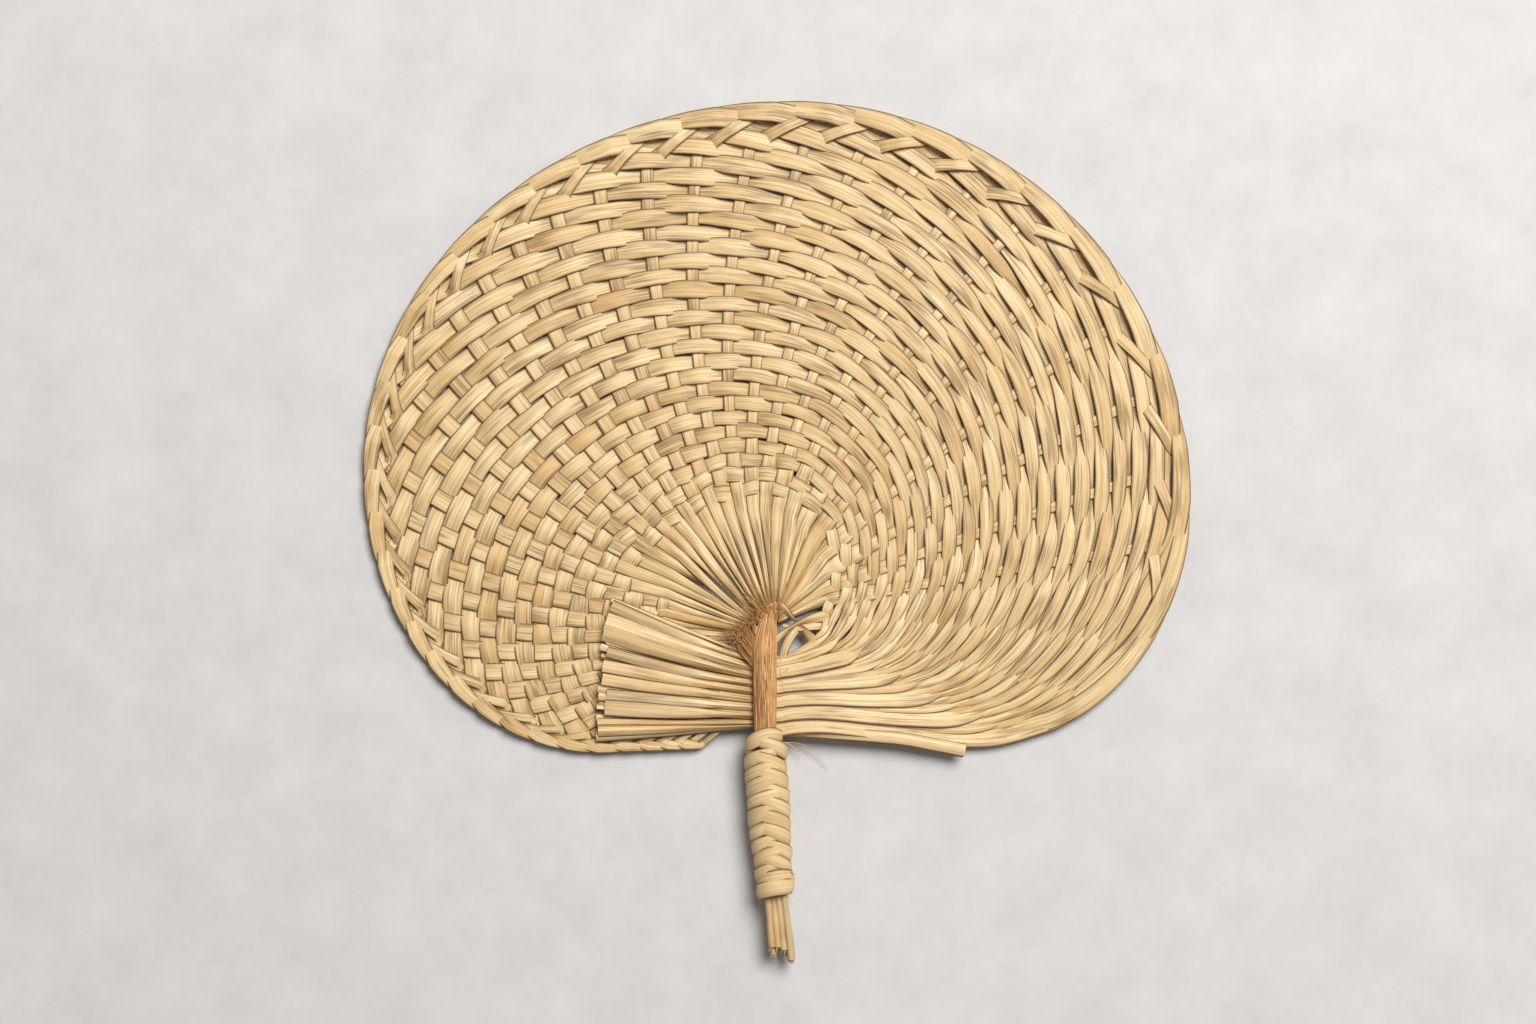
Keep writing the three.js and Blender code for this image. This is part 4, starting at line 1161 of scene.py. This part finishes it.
# Winding: two strips wound against each other, so that each tucks under the other, and a broad collar below.
# WINDING_SIZES gives its radius at a distance below the hub. A strip of WINDINGS is its top, bottom and
# turns, its way round, how far its first turn arches up in front, the degrees at which it lies on top, its
# width, crown and seed.
WINDING_SIZES = ((50, 7.0), (58, 7.7), (80, 7.6), (98, 6.8), (106, 6.5), (112, 6.9), (118, 6.4))
WINDINGS = (
    (-50.0, -109.0, 10.4, 1, 4.0, 120, 5.5, 0.6, 205.0),
    (-52.0, -111.4, 10.4, -1, 2.4, 60, 5.5, 0.6, 207.3),
    (-107.0, -112.8, 2, 1, 1.6, 90, 7.0, 0.7, 209.1),
)
WINDING_SLANT = 1.5
WINDING_ARCH = 2.0
WINDING_POINTS = 44
EDGE_POINTS = 7
ON_TOP_LIFT = 0.75
FLAT_UNDERSIDE = 0.86
WINDING_AGE = 0.05
WINDING_ROLL = -0.12


def winding_line(top, bottom, turns, way, arch, show, wide, puff, seed, chance):
    """A leaf strip wound round the handle. Near the angle show it lies broad and on top, away from there it
    is narrow and tucked under the strip that is wound against it. In front it arches up."""
    rows, normals = [], []
    halves = range(int(2 * turns) + 3)
    wavers, swells, shifts = ([chance(-most, most) for _ in halves] for most in (0.5, 0.2, 0.6))
    for turn in np.arange(0, turns + 0.001, 1 / WINDING_POINTS):
        stray, fuller, early = (np.interp(2 * turn, halves, values) for values in (wavers, swells, shifts))
        angle = -pi / 2 + way * 2 * pi * turn
        aside, facing = cos(angle), sin(angle)
        on_top = cos(angle - show * DEGREE - early)
        y = lerp(top, bottom, turn / turns) + stray
        y += lerp(arch, WINDING_ARCH, min(turn, 1)) * max(facing, 0) ** 1.5
        y += WINDING_SLANT * way * aside * min(turn, turns - turn, 1)
        radius = float(np.interp(-y, *zip(*WINDING_SIZES))) + ON_TOP_LIFT * on_top
        width = wide * max(0.72 + 0.42 * on_top, 0.55) * (1 + fuller)
        squeeze = FLAT_UNDERSIDE if facing < 0 else 1.0
        rows.append((handle_x(y) + radius * aside, y, AXIS_HEIGHT + radius * facing * squeeze,
                     width, 0.0, puff * (0.6 + 0.4 * on_top), WINDING_AGE, WINDING_ROLL * way))
        normals.append((aside, 0, facing))
    return strip_line(rows, seed, normals)


chance = random.Random(150).uniform
lines = [winding_line(*winding, chance) for winding in WINDINGS]
swept_piece("wound_leaf_grip", lines, wound_leaf, "wound_leaf", "handle_winding", points=EDGE_POINTS)
